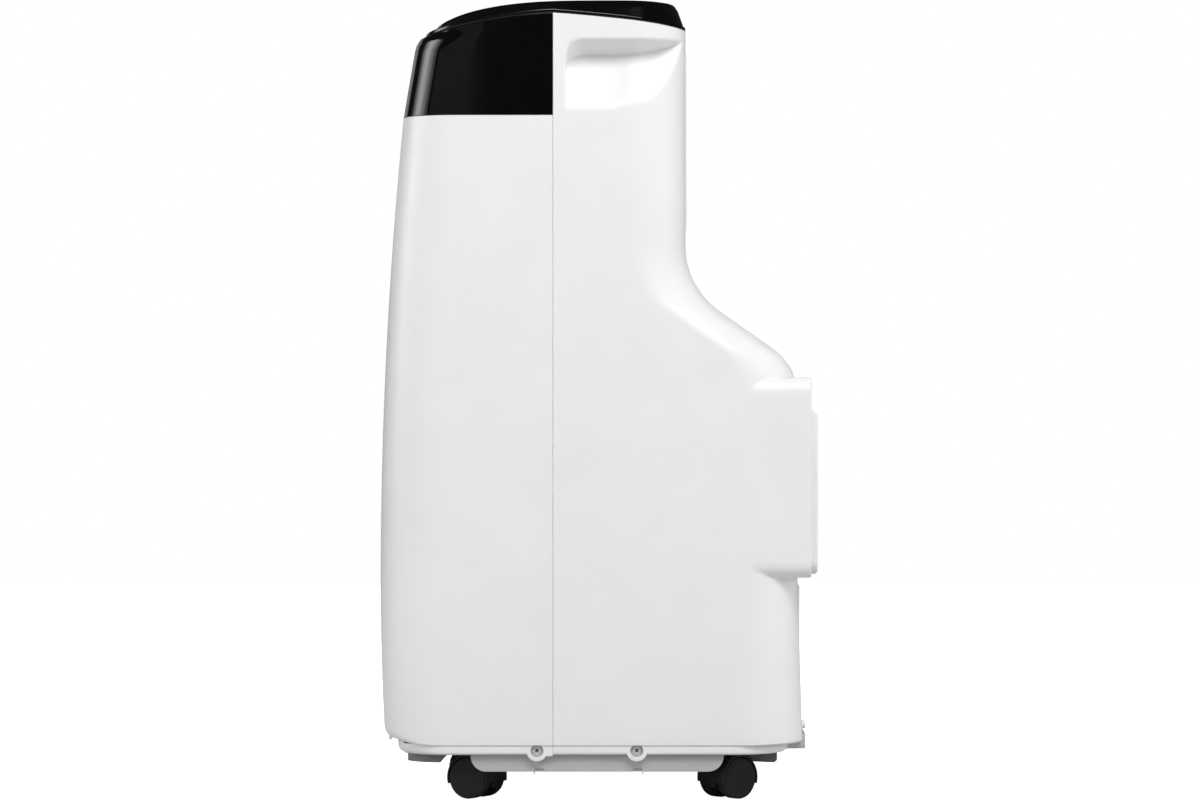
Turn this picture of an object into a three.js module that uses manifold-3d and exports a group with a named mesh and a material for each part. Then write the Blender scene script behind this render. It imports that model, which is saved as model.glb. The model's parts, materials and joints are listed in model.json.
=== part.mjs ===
// A portable room air conditioner on four twin-wheel casters, in millimetres.
// +X is the unit's right as a viewer faces its front, -Y is the front, +Z is up.
// The origin is on the floor, under the middle of the bounding box.

import * as THREE from "three";
import { mergeVertices } from "three/addons/utils/BufferGeometryUtils.js";
import Module from "manifold-3d";

const wasm = await Module();
wasm.setup();

// ---------------------------------------------------------------- driving dimensions

const HALF_WIDTH = 225;
const REAR_REACH = 215;
const FRONT_REACH = 212.5;
const HEIGHT = 765;
const WALL = 3;
const GAP = 0.3;

// Side profile of the cabinet.
const SHELL_BOTTOM = 54;
const BOTTOM_ROUNDING = 6;
const SKIRT_BOTTOM = 45;
const BELLY_Z = 205;
const FRONT_RADIUS_ABOVE = 4550;
const FRONT_RADIUS_BELOW = 2650;
const FRONT_BULGE = 10;
const HEAD_LEAN = 0.064;
const BROW_RADIUS = 7;
const BROW_TOP = 728.7;
const CORNER_STEPS = 4;
const FRONT_CORNER = 50;
const REAR_CORNER = 55;
const NECK_Y = 86.5;
const LOWER_REAR_Y = 194.3;
const SHOULDER_ANGLE = THREE.MathUtils.degToRad(35);
const SHOULDER_MEETS_NECK_Z = 490;
const NECK_FILLET = 76;
const SHOULDER_FILLET = 55;
const PARTING_Y = -40.6;
const FACADE_HALF = 189;
const BLACK_EDGE_Z = 653.3;
const FACADE_BACK_Y = -150;

// The joint under the top cap: its height at the parting line, and its fall over its reach forward.
const SEAM_TOP_Z = 750.7;
const SEAM_FALL = 20.7;
const SEAM_REACH = 122.4;
const SEAM_LEVEL = 740;
const CREST_Y = 20;
const CREST_FALL = 25;
const CREST_POWER = 3.4;
const CAP_EDGE_INSET = 15;
const CAP_PLAY = 0.2;

// Skirt under the walls.
const SKIRT_INSET = 5;
const SKIRT_FRONT = -193.6;
const SKIRT_REAR = 182.6;

// Exhaust housing on the lower back.
const HOUSING_BOTTOM = 213;
const HOUSING_TOP = 404;
const HOUSING_REAR_Y = 205.4;
const HOUSING_FILLET = 14;
const EXHAUST_Z = 291;
const EXHAUST_RADIUS = 73;
const COLLAR_HALF = 150;
const COLLAR_TOP = 375;
const SLOT_HALF = 104;
const SLOT_BOTTOM = 222;
const MOUTH_HALF = 97;
const MOUTH_BOTTOM = 228;

// Grip recesses.
const GRIP_FRONT_Y = -29;
const GRIP_BOTTOM = 661;
const GRIP_TOP = 725.5;
const GRIP_DEEP_Z = 708;
const GRIP_DEPTH = 22;
const GRIP_ROUNDING = 13;

// Air outlet.
const OUTLET_HALF = 150;
const OUTLET_BOTTOM = 668;
const OUTLET_TOP = 716;
const VANE_COUNT = 5;
const VANE_PITCH = 56;
const VANE_PIVOT_Y = -133;
const VANE_PEG_OFFSET = 20;
const VANE_HALF_THICKNESS = 0.9;
const LINK_HALF_WIDTH = 3;
const LINK_BOTTOM = 701;
const LINK_THICKNESS = 2.5;
const DUCT_FRONT_Y = -161;
const DUCT_BACK_Y = -70;

// Control strip on the top cap.
const CONTROL_Y = -112;
const CONTROL_HALF_WIDTH = 108;
const CONTROL_HALF_DEPTH = 26;
const BUTTON_RADIUS = 8;
const BUTTONS = { power: -88, mode: -62, down: 62, up: 88 };

// Casters.
const WHEEL_RADIUS = 20;
const WHEEL_WIDTH = 8;
const WHEEL_INNER = 11.2;
const TRAIL = 16;
const STEM_X = 165;
const CASTERS = [
  { name: "front_right", x: STEM_X, y: -128, turn: 60 },
  { name: "front_left", x: -STEM_X, y: -128, turn: 128 },
  { name: "rear_right", x: STEM_X, y: 139, turn: -50 },
  { name: "rear_left", x: -STEM_X, y: 139, turn: -122 },
];
const CASTER_POCKET = 44;

// Tray under the cabinet: a wide middle between two end blocks, and an apron up the back.
const TRAY_BOTTOM = 28.5;
const TRAY_HALF = 216.5;
const TRAY_FRONT = -119;
const TRAY_REAR = 122;
const TRAY_ROUNDING = 15;
const TRAY_FLANGE_Z = 44;
// The end blocks stand at the tray's corners; each outline is its side profile as [y, z].
const BLOCK_INNER = 120;
const BLOCK_OUTER = 213;
const FRONT_BLOCK = [[-180, 45], [-180, 36.8], [-148, 36.8], [-141, 45]];
const REAR_BLOCK = [[148.5, 45], [150, 38.3], [176, 37], [178, 39], [178, 45]];
const APRON_HALF = 150;
const APRON_Y = 203;
const APRON_TOP = 60;
const GLAND_X = -110;
const GLAND_Z = 52.5;

// Screws through the skirt.
const SCREW_Z = 48.9;
const SCREW_YS = [-55.8, 39.2];
const SCREW_HEAD_RADIUS = 4;

// Intake grilles, drains, and the axes that the two blowers turn about, as [x, z].
const UPPER_FILTER = { half: 165, bottom: 548, top: 716 };
const LOWER_FILTER = { half: 152, bottom: 84, top: 203 };
const FILTER_DEPTH = 9;
const FILTER_BORDER = 8;
const UPPER_DRAIN = [182, 386];
const LOWER_DRAIN = [140, 68];
const LOWER_DRAIN_RADIUS = 7.5;
const EVAPORATOR_AXIS = [0, 545];
const CONDENSER_AXIS = [70, 190];

// ---------------------------------------------------------------- solids and meshes

// A closed three.js geometry as a manifold solid.
function solid(geometry) {
  const bare = geometry.index ? geometry.toNonIndexed() : geometry.clone();
  bare.deleteAttribute("normal");
  bare.deleteAttribute("uv");
  const merged = mergeVertices(bare, 1e-4);
  return new wasm.Manifold(
    new wasm.Mesh({
      numProp: 3,
      vertProperties: merged.attributes.position.array,
      triVerts: new Uint32Array(merged.index.array),
    }),
  );
}

// A manifold solid as a three.js geometry with flat normals.
function geometryOf(body) {
  const mesh = body.getMesh();
  const geometry = new THREE.BufferGeometry();
  geometry.setAttribute(
    "position",
    new THREE.BufferAttribute(new Float32Array(mesh.vertProperties), 3),
  );
  geometry.setIndex(new THREE.BufferAttribute(new Uint32Array(mesh.triVerts), 1));
  geometry.computeVertexNormals();
  return geometry;
}

const join = (...bodies) => bodies.reduce((a, b) => a.add(b));
const cut = (body, ...tools) => tools.reduce((a, b) => a.subtract(b), body);

function box(x0, x1, y0, y1, z0, z1) {
  const geometry = new THREE.BoxGeometry(x1 - x0, y1 - y0, z1 - z0);
  geometry.translate((x0 + x1) / 2, (y0 + y1) / 2, (z0 + z1) / 2);
  return solid(geometry);
}

// A straight cylinder from one point along an axis named "x", "y" or "z".
function rod(axis, [x, y, z], length, radius, segments = 20) {
  const geometry = new THREE.CylinderGeometry(radius, radius, length, segments);
  geometry.translate(0, length / 2, 0);
  if (axis === "x") geometry.rotateZ(-Math.PI / 2);
  if (axis === "z") geometry.rotateX(Math.PI / 2);
  geometry.translate(x, y, z);
  return solid(geometry);
}

const ALONG_X = new THREE.Matrix4().makeBasis(
  new THREE.Vector3(0, 1, 0),
  new THREE.Vector3(0, 0, 1),
  new THREE.Vector3(1, 0, 0),
);
const ALONG_Y = new THREE.Matrix4().makeBasis(
  new THREE.Vector3(1, 0, 0),
  new THREE.Vector3(0, 0, 1),
  new THREE.Vector3(0, -1, 0),
);

function extrude(shape, depth, curveSegments = 2) {
  return new THREE.ExtrudeGeometry(shape, { depth, curveSegments, bevelEnabled: false });
}

// A shape drawn in (y, z), extruded from x0 to x1.
function prismX(shape, x0, x1) {
  return solid(extrude(shape, x1 - x0).applyMatrix4(ALONG_X).translate(x0, 0, 0));
}

// A shape drawn in (x, z), extruded from y0 to y1.
function prismY(shape, y0, y1) {
  return solid(extrude(shape, y1 - y0).applyMatrix4(ALONG_Y).translate(0, y1, 0));
}

// A shape drawn in (x, y), extruded from z0 to z1.
function prismZ(shape, z0, z1) {
  return solid(extrude(shape, z1 - z0).translate(0, 0, z0));
}

const shapeOf = (points) => new THREE.Shape(points.map(([a, b]) => new THREE.Vector2(a, b)));

// A rectangle with its four corners rounded.
function roundedRect(a0, a1, b0, b1, radius) {
  const shape = new THREE.Shape();
  shape.moveTo(a0 + radius, b0);
  shape.lineTo(a1 - radius, b0);
  shape.absarc(a1 - radius, b0 + radius, radius, -Math.PI / 2, 0);
  shape.lineTo(a1, b1 - radius);
  shape.absarc(a1 - radius, b1 - radius, radius, 0, Math.PI / 2);
  shape.lineTo(a0 + radius, b1);
  shape.absarc(a0 + radius, b1 - radius, radius, Math.PI / 2, Math.PI);
  shape.lineTo(a0, b0 + radius);
  shape.absarc(a0 + radius, b0 + radius, radius, Math.PI, Math.PI * 1.5);
  return shape;
}

// A solid through closed rings of equal length, each a list of Vector3 seen anticlockwise from above.
function loft(rings) {
  const count = rings[0].length;
  const positions = rings.flat().flatMap((p) => [p.x, p.y, p.z]);
  const index = [];
  for (let r = 0; r + 1 < rings.length; r++) {
    for (let i = 0; i < count; i++) {
      const j = (i + 1) % count;
      const [a, b, c, d] = [r * count + i, r * count + j, (r + 1) * count + j, (r + 1) * count + i];
      index.push(a, b, c, a, c, d);
    }
  }
  const last = (rings.length - 1) * count;
  const ends = [rings[0], rings[rings.length - 1]].map((ring) =>
    ring.reduce((sum, p) => sum.add(p), new THREE.Vector3()).divideScalar(count),
  );
  ends.forEach((p) => positions.push(p.x, p.y, p.z));
  const [low, high] = [rings.length * count, rings.length * count + 1];
  for (let i = 0; i < count; i++) {
    const j = (i + 1) % count;
    index.push(low, j, i, high, last + i, last + j);
  }
  const geometry = new THREE.BufferGeometry();
  geometry.setAttribute("position", new THREE.Float32BufferAttribute(positions, 3));
  geometry.setIndex(index);
  return solid(geometry);
}

// ---------------------------------------------------------------- cabinet surface

// How far forward the front face reaches at a height, on the centre line: a shallow bow, a head
// that leans back, and a brow rounded over below the top cap.
function frontY(z) {
  const radius = z > BELLY_Z ? FRONT_RADIUS_ABOVE : FRONT_RADIUS_BELOW;
  const bow = (z - BELLY_Z) ** 2 / (2 * radius);
  const lean = HEAD_LEAN * Math.max(0, z - BLACK_EDGE_Z);
  const rise = Math.min(Math.max(0, z - BROW_TOP + BROW_RADIUS), BROW_RADIUS);
  return -FRONT_REACH + bow + lean + BROW_RADIUS - Math.sqrt(BROW_RADIUS ** 2 - rise ** 2);
}

// The back face on the centre line: straight neck, fillet, slope, fillet, straight lower back.
function rearY(z) {
  const slope = Math.tan(SHOULDER_ANGLE);
  const half = (Math.PI / 2 - SHOULDER_ANGLE) / 2;
  const neckTangent = NECK_FILLET * Math.tan(half);
  const neckCentreZ = SHOULDER_MEETS_NECK_Z + neckTangent;
  if (z >= neckCentreZ) return NECK_Y;
  if (z >= SHOULDER_MEETS_NECK_Z - neckTangent * Math.sin(SHOULDER_ANGLE)) {
    return NECK_Y + NECK_FILLET - Math.sqrt(NECK_FILLET ** 2 - (neckCentreZ - z) ** 2);
  }
  const backCornerZ = SHOULDER_MEETS_NECK_Z - (LOWER_REAR_Y - NECK_Y) * slope;
  const backTangent = SHOULDER_FILLET * Math.tan(half);
  const backCentreZ = backCornerZ - backTangent;
  if (z >= backCornerZ + backTangent * Math.sin(SHOULDER_ANGLE)) {
    return NECK_Y + (SHOULDER_MEETS_NECK_Z - z) / slope;
  }
  if (z >= backCentreZ) {
    return LOWER_REAR_Y - SHOULDER_FILLET + Math.sqrt(SHOULDER_FILLET ** 2 - (z - backCentreZ) ** 2);
  }
  return LOWER_REAR_Y + Math.max(0, HOUSING_BOTTOM - z) * 0.015;
}

// The plan outline between a front and a back face, as [x, y] points anticlockwise from the front.
function planOutline({ half, front, rear, frontCorner, rearCorner, bulge }) {
  const points = [];
  const flat = half - frontCorner;
  const droop = (x) => bulge * (x / half) ** 2;
  for (const share of [0, 0.5]) points.push([flat * share, front + droop(flat * share)]);
  for (let i = 0; i <= CORNER_STEPS; i++) {
    const angle = (Math.PI / 2) * (i / CORNER_STEPS);
    points.push([
      flat + frontCorner * Math.sin(angle),
      front + droop(flat) + frontCorner * (1 - Math.cos(angle)),
    ]);
  }
  for (let i = 0; i <= CORNER_STEPS; i++) {
    const angle = (Math.PI / 2) * (i / CORNER_STEPS);
    points.push([
      half - rearCorner * (1 - Math.cos(angle)),
      rear - rearCorner * (1 - Math.sin(angle)),
    ]);
  }
  points.push([0, rear]);
  const mirrored = points.slice(1, -1).reverse().map(([x, y]) => [-x, y]);
  return [...points, ...mirrored];
}

function cabinetOutline(z, inset) {
  return planOutline({
    half: HALF_WIDTH - inset,
    front: frontY(z) + inset,
    rear: rearY(z) - inset,
    frontCorner: FRONT_CORNER - inset,
    rearCorner: REAR_CORNER - inset,
    bulge: FRONT_BULGE,
  });
}

// How far the bottom edge is rounded inwards at a height.
function bottomInset(z) {
  const below = SHELL_BOTTOM + BOTTOM_ROUNDING - z;
  if (below <= 0) return 0;
  const reach = Math.min(below, BOTTOM_ROUNDING);
  return BOTTOM_ROUNDING - Math.sqrt(BOTTOM_ROUNDING ** 2 - reach ** 2);
}

// The joint between the walls and the top cap, which arches from front to back.
function seamZ(y) {
  const ahead = PARTING_Y - y;
  if (ahead > 0) return SEAM_TOP_Z - SEAM_FALL * (ahead / SEAM_REACH) ** 1.5;
  return SEAM_TOP_Z + 0.07 * ahead - 0.0003 * ahead ** 2;
}

// The crest of the top cap beside its edge.
function crownZ(y) {
  const crest = HEIGHT - 1.5;
  if (y > CREST_Y) return crest - ((y - CREST_Y) / 50) ** 2;
  return crest - CREST_FALL * ((CREST_Y - y) / 177) ** CREST_POWER;
}

const ringAt = (z, inset) =>
  cabinetOutline(z, inset).map(([x, y]) => new THREE.Vector3(x, y, z));

// A ring whose height follows a function of y.
function ringFollowing(heightAt, inset) {
  return cabinetOutline(SEAM_LEVEL, inset).map(([x, y]) => new THREE.Vector3(x, y, heightAt(y)));
}

// The cabinet's walls as a solid, at an inset from its outside.
function cabinet(levels, inset, topRing) {
  const rings = levels.map((z) => ringAt(z, inset + bottomInset(z)));
  if (topRing) rings.push(topRing);
  return loft(rings);
}

const FRONT_LEVELS = [SHELL_BOTTOM, 56, 60, 130, BELLY_Z, 320, 440, 550, BLACK_EDGE_Z - GAP / 2];
const REAR_LEVELS = [
  SHELL_BOTTOM, 56, 60, HOUSING_BOTTOM, 388, 404, 419, 433, 466, 480, 500, 530, 700,
];
const FAR = 400;
const seamBelow = (y) => seamZ(y) - GAP / 2;

// The region behind the facade: the middle of the front.
const facadeZone = (half, z0, z1) => box(-half, half, -FAR, FACADE_BACK_Y, z0, z1);

// ---------------------------------------------------------------- front half

const skirtOutline = (inset) =>
  shapeOf(
    planOutline({
      half: HALF_WIDTH - SKIRT_INSET - inset,
      front: SKIRT_FRONT + inset,
      rear: SKIRT_REAR - inset,
      frontCorner: 45 - inset,
      rearCorner: 52 - inset,
      bulge: 6,
    }),
  );

// The recessed band under the cabinet, with its shelf up to the walls and its screw tabs.
function skirt(y0, y1) {
  const band = cut(
    prismZ(skirtOutline(0), SKIRT_BOTTOM, SHELL_BOTTOM + WALL),
    prismZ(skirtOutline(WALL), SKIRT_BOTTOM - 1, SHELL_BOTTOM + WALL + 1),
  );
  const shelfLevels = [SHELL_BOTTOM + 1, SHELL_BOTTOM + WALL];
  const shelf = cut(
    join(
      cabinet(shelfLevels, WALL + GAP),
      cut(cabinet(shelfLevels, WALL - 1), facadeZone(FACADE_HALF + GAP, 0, FAR)),
    ),
    prismZ(skirtOutline(WALL - 1), SHELL_BOTTOM - 1, SHELL_BOTTOM + WALL + 1),
  );
  let ring = join(band, shelf);
  const face = HALF_WIDTH - SKIRT_INSET;
  for (const side of [-1, 1]) {
    for (const y of SCREW_YS) {
      const x = side > 0 ? face - WALL : -face;
      ring = join(ring, rod("x", [x, y, SCREW_Z], WALL, 10, 24));
      const recess = side > 0 ? face - 1.8 : -face - 1;
      ring = cut(ring, rod("x", [recess, y, SCREW_Z], 2.8, 6.2, 20));
      ring = cut(ring, rod("x", [x - 1, y, SCREW_Z], WALL + 2, 2.2, 12));
    }
  }
  return ring.intersect(box(-FAR, FAR, y0, y1, 0, SHELL_BOTTOM + WALL));
}

function frontHousing() {
  const outer = cabinet(FRONT_LEVELS, 0);
  const side = cut(outer, cabinet([40, ...FRONT_LEVELS.slice(2), 700], WALL));
  const recessed = cut(
    cabinet(FRONT_LEVELS, WALL + GAP),
    cabinet([40, ...FRONT_LEVELS.slice(2), 700], 2 * WALL + GAP),
  );
  const thick = cut(outer, cabinet([40, ...FRONT_LEVELS.slice(2), 700], 2 * WALL + GAP));
  const walls = join(
    cut(side, facadeZone(FACADE_HALF + GAP, 0, FAR * 2)),
    recessed.intersect(facadeZone(FACADE_HALF + 2, 0, FAR * 2)),
    cut(
      thick.intersect(facadeZone(FACADE_HALF + 14, 0, FAR * 2)),
      facadeZone(FACADE_HALF + GAP, 0, FAR * 2),
    ),
  );
  return join(
    walls.intersect(box(-FAR, FAR, -FAR, PARTING_Y - GAP, 0, FAR * 2)),
    skirt(-FAR, PARTING_Y - GAP),
  );
}

function frontPanel() {
  const sheet = cut(
    cabinet(FRONT_LEVELS, 0),
    cabinet([40, ...FRONT_LEVELS.slice(2), 700], WALL),
  );
  return sheet.intersect(facadeZone(FACADE_HALF, SHELL_BOTTOM, FAR * 2));
}

const UPPER_LEVELS = [BLACK_EDGE_Z + GAP / 2, 690, OUTLET_TOP, 723];

// The head's walls between two insets, up to the joint under the cap.
function upperSheet(from, to) {
  const inner = [600, ...UPPER_LEVELS].map((z) => ringAt(z, to));
  inner.push(ringFollowing(seamBelow, to), ringFollowing((y) => seamBelow(y) + 40, to));
  return cut(
    cabinet(UPPER_LEVELS, from, ringFollowing(seamBelow, from)),
    loft(inner),
    loft([ringFollowing(seamZ, CAP_PLAY), ringFollowing((y) => seamZ(y) + 40, CAP_PLAY)]),
  );
}

function upperCover() {
  const opening = box(
    -OUTLET_HALF - 24, OUTLET_HALF + 24, -FAR, -100, OUTLET_BOTTOM - 10, OUTLET_TOP + 6,
  );
  const walls = join(
    cut(upperSheet(0, WALL), facadeZone(FACADE_HALF + GAP, 0, FAR * 2)),
    upperSheet(WALL + GAP, 2 * WALL + GAP).intersect(facadeZone(FACADE_HALF + 2, 0, FAR * 2)),
    cut(
      upperSheet(0, 2 * WALL + GAP).intersect(facadeZone(FACADE_HALF + 14, 0, FAR * 2)),
      facadeZone(FACADE_HALF + GAP, 0, FAR * 2),
    ),
  );
  return cut(walls, opening).intersect(box(-FAR, FAR, -FAR, PARTING_Y - GAP, 0, FAR * 2));
}

function outletBezel() {
  const sheet = upperSheet(0, WALL).intersect(facadeZone(FACADE_HALF, 0, FAR * 2));
  return cut(sheet, box(-OUTLET_HALF, OUTLET_HALF, -FAR, -100, OUTLET_BOTTOM, OUTLET_TOP));
}

// ---------------------------------------------------------------- air outlet

const LOUVER_PIVOT = [frontY(692) + 12.5, 692];

function louverFlap() {
  const [sidePlay, endPlay] = [0.8, 2];
  const [pivotY, pivotZ] = LOUVER_PIVOT;
  const half = OUTLET_HALF - sidePlay;
  const skin = upperSheet(0, WALL).intersect(
    box(-half, half, -FAR, -100, OUTLET_BOTTOM + endPlay, OUTLET_TOP - endPlay),
  );
  const lugs = [-1, 1].map((side) => {
    const x = side > 0 ? half - 5 : -half + 2;
    const pin = side > 0 ? x + 1 : -OUTLET_HALF - 4;
    return join(
      box(x, x + 3, pivotY - 6.5, pivotY + 3, pivotZ - 3, pivotZ + 3),
      rod("x", [pin, pivotY, pivotZ], OUTLET_HALF + 4 - (half - 4), 1.6, 10),
    );
  });
  return join(skin, ...lugs);
}

function louverMotor() {
  const [y, z] = LOUVER_PIVOT;
  const x = OUTLET_HALF + 4 + GAP;
  return join(rod("x", [x + 1, y + 9, z], 14, 12, 20), rod("x", [x, y, z], 2, 2.4, 12));
}

function outletDuct() {
  const [pivotY, pivotZ] = LOUVER_PIVOT;
  const half = OUTLET_HALF + 1;
  const outer = box(
    -half - 3, half + 3, DUCT_FRONT_Y, DUCT_BACK_Y, OUTLET_BOTTOM - 4, OUTLET_TOP + 4,
  );
  const inner = box(-half, half, -FAR, 0, OUTLET_BOTTOM - 1, OUTLET_TOP + 1);
  let duct = cut(outer, inner);
  for (const side of [-1, 1]) {
    const x = side > 0 ? OUTLET_HALF + 1 : -OUTLET_HALF - 4;
    duct = join(duct, box(x, x + 3, pivotY - 3.3, DUCT_FRONT_Y + 5, pivotZ - 4, pivotZ + 4));
    duct = cut(duct, rod("x", [x - 1, pivotY, pivotZ], 5, 1.9, 10));
  }
  for (let i = 0; i < VANE_COUNT; i++) {
    duct = cut(duct, rod("z", [vaneX(i), VANE_PIVOT_Y, OUTLET_BOTTOM - 6], 60, 2.4, 8));
  }
  return duct;
}

const vaneX = (i) => (i - (VANE_COUNT - 1) / 2) * VANE_PITCH;

// A vane in its own frame, with its pivot on the z axis.
function vane() {
  const blade = box(
    -VANE_HALF_THICKNESS, VANE_HALF_THICKNESS, -14, 22, OUTLET_BOTTOM + 1, OUTLET_TOP - 1,
  );
  const hub = rod("z", [0, 0, OUTLET_BOTTOM - 3.5], OUTLET_TOP - OUTLET_BOTTOM + 7, 2, 8);
  const clearance = LINK_HALF_WIDTH + 2;
  const notch = box(
    -3, 3, VANE_PEG_OFFSET - clearance, VANE_PEG_OFFSET + 10, LINK_BOTTOM - 1, OUTLET_TOP + 3,
  );
  const peg = rod("z", [0, VANE_PEG_OFFSET, 694], 11, 1.2, 8);
  return join(cut(join(blade, hub), notch), peg);
}

// The bar that ties the vanes' pegs together, in its own frame about the first peg.
function vaneLink() {
  const length = VANE_PITCH * (VANE_COUNT - 1);
  let bar = box(
    -4, length + 4, -LINK_HALF_WIDTH, LINK_HALF_WIDTH, LINK_BOTTOM, LINK_BOTTOM + LINK_THICKNESS,
  );
  for (let i = 0; i < VANE_COUNT; i++) {
    bar = cut(bar, rod("z", [i * VANE_PITCH, 0, 690], 30, 1.7, 8));
  }
  return bar;
}

// ---------------------------------------------------------------- top cap and controls

const CONTROL_TILT = Math.atan(
  (crownZ(CONTROL_Y + 5) - crownZ(CONTROL_Y - 5)) / 10,
);
const CONTROL_Z = crownZ(CONTROL_Y) + 1.2;

// Places a solid made about the origin on the tilted control strip.
function onControls(body, x = 0) {
  const place = new THREE.Matrix4()
    .makeTranslation(x, CONTROL_Y, CONTROL_Z)
    .multiply(new THREE.Matrix4().makeRotationX(CONTROL_TILT));
  return body.transform(place.elements);
}

function scaledRing(ring, share, heightAt) {
  const centreY = -45;
  return ring.map((p) => {
    const [x, y] = [p.x * share, centreY + (p.y - centreY) * share];
    return new THREE.Vector3(x, y, heightAt(x, y));
  });
}

function topCap() {
  const dome = (x, y) => crownZ(y) + 1.5 * (1 - (x / HALF_WIDTH) ** 2);
  const edge = ringFollowing(crownZ, CAP_EDGE_INSET);
  const outer = loft([
    ringFollowing((y) => seamZ(y) + GAP / 2, CAP_PLAY),
    ringFollowing((y) => seamZ(y) + 3.6, CAP_PLAY),
    ringFollowing((y) => seamZ(y) + 4.4, 1.6),
    ringFollowing((y) => crownZ(y) - 3.2, 9),
    ringFollowing((y) => crownZ(y) - 0.8, 11.5),
    scaledRing(edge, 1, dome),
    scaledRing(edge, 0.62, dome),
    scaledRing(edge, 0.25, dome),
  ]);
  const under = (x, y) => dome(x, y) - WALL - 1;
  const inner = loft([
    ringFollowing((y) => seamZ(y) - 8, WALL),
    ringFollowing((y) => seamZ(y) + 2.5, WALL),
    ringFollowing((y) => crownZ(y) - 6, 14),
    scaledRing(edge, 0.62, under),
    scaledRing(edge, 0.25, under),
  ]);
  let cap = cut(outer, inner);
  const plate = roundedRect(
    -CONTROL_HALF_WIDTH - GAP, CONTROL_HALF_WIDTH + GAP,
    -CONTROL_HALF_DEPTH - GAP, CONTROL_HALF_DEPTH + GAP, 8,
  );
  cap = cut(cap, onControls(prismZ(plate, -2, 10)));
  for (const x of Object.values(BUTTONS)) {
    cap = cut(cap, onControls(rod("z", [0, 0, -12], 24, BUTTON_RADIUS + 0.5, 16), x));
  }
  return cap;
}

function controlOverlay() {
  const plate = roundedRect(
    -CONTROL_HALF_WIDTH, CONTROL_HALF_WIDTH, -CONTROL_HALF_DEPTH, CONTROL_HALF_DEPTH, 8,
  );
  let overlay = onControls(prismZ(plate, -1.7, 0));
  for (const x of Object.values(BUTTONS)) {
    overlay = cut(overlay, onControls(rod("z", [0, 0, -5], 10, BUTTON_RADIUS + 0.4, 16), x));
  }
  return overlay;
}

function pushButton() {
  return join(
    rod("z", [0, 0, -4], 5.2, BUTTON_RADIUS, 16),
    rod("z", [0, 0, -8.5], 5, 3, 8),
  );
}

// ---------------------------------------------------------------- rear half

const grip = (side, grow, y0) => {
  const outside = HALF_WIDTH + 6;
  const deep = HALF_WIDTH - GRIP_DEPTH;
  const floorSlope = (GRIP_DEEP_Z - GRIP_BOTTOM) / GRIP_DEPTH;
  const ceilingSlope = (GRIP_TOP - GRIP_DEEP_Z) / GRIP_DEPTH;
  const wedge = shapeOf(
    [
      [outside, GRIP_BOTTOM - 6 * floorSlope - grow * 2.6],
      [outside, GRIP_TOP + 6 * ceilingSlope + grow * 1.4],
      [deep - grow, GRIP_DEEP_Z + grow * 0.4],
      [deep - grow, GRIP_DEEP_Z - grow * 0.4 - 1],
    ].map(([x, z]) => [side * x, z]),
  );
  const window = roundedRect(y0 - grow, 150, GRIP_BOTTOM - 60, GRIP_TOP + grow, GRIP_ROUNDING);
  return prismY(wedge, -60, 140).intersect(prismX(window, -FAR, FAR));
};

// The exhaust housing as a bar across the back, at an inset.
function exhaustHousing(inset) {
  const across = roundedRect(
    -HALF_WIDTH + 0.4 + inset, HALF_WIDTH - 0.4 - inset,
    HOUSING_BOTTOM + inset, HOUSING_TOP - inset, HOUSING_FILLET - inset,
  );
  return prismY(across, 40, HOUSING_REAR_Y - inset);
}

function rearHousing() {
  const outer = join(
    cabinet(REAR_LEVELS, 0, ringFollowing(seamBelow, 0)),
    exhaustHousing(0),
  );
  const inner = join(
    cabinet([40, ...REAR_LEVELS.slice(2), 790], WALL),
    exhaustHousing(WALL),
  );
  let walls = cut(outer, inner);
  for (const side of [-1, 1]) {
    walls = join(walls, grip(side, WALL, GRIP_FRONT_Y).intersect(outer));
  }
  for (const side of [-1, 1]) walls = cut(walls, grip(side, 0, GRIP_FRONT_Y));
  for (const { half, bottom, top } of [UPPER_FILTER, LOWER_FILTER]) {
    walls = cut(walls, box(-half - GAP, half + GAP, 60, FAR, bottom - GAP, top + GAP));
  }
  walls = cut(
    walls,
    rod("y", [0, 180, EXHAUST_Z], 60, EXHAUST_RADIUS + 2, 40),
    rod("y", [-UPPER_DRAIN[0], 190, UPPER_DRAIN[1]], 30, 6.3, 16),
    rod("y", [LOWER_DRAIN[0], 180, LOWER_DRAIN[1]], 40, 4.3, 16),
  );
  const floor = skirt(PARTING_Y + GAP, FAR);
  const apronRoom = box(-APRON_HALF - 1, APRON_HALF + 1, 150, FAR, 0, APRON_TOP + 0.5);
  return cut(
    join(walls.intersect(box(-FAR, FAR, PARTING_Y + GAP, FAR, 0, FAR * 2)), floor),
    apronRoom,
  );
}

// A removable intake grille: frame, slats and the filter sheet behind them.
function intakeFilter({ half, bottom, top }, faceY, slatCount) {
  const [backY, border] = [faceY - FILTER_DEPTH, FILTER_BORDER];
  const frame = cut(
    box(-half, half, backY, faceY, bottom, top),
    box(-half + border, half - border, backY + 1.2, faceY + 1, bottom + border, top - border),
  );
  const pitch = (top - bottom - 2 * border) / slatCount;
  const slats = [];
  for (let i = 1; i < slatCount; i++) {
    const z = bottom + border + i * pitch;
    slats.push(box(-half + border - 1, half - border + 1, faceY - 5, faceY, z - 1.4, z + 1.4));
  }
  return join(frame, ...slats);
}

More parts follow.
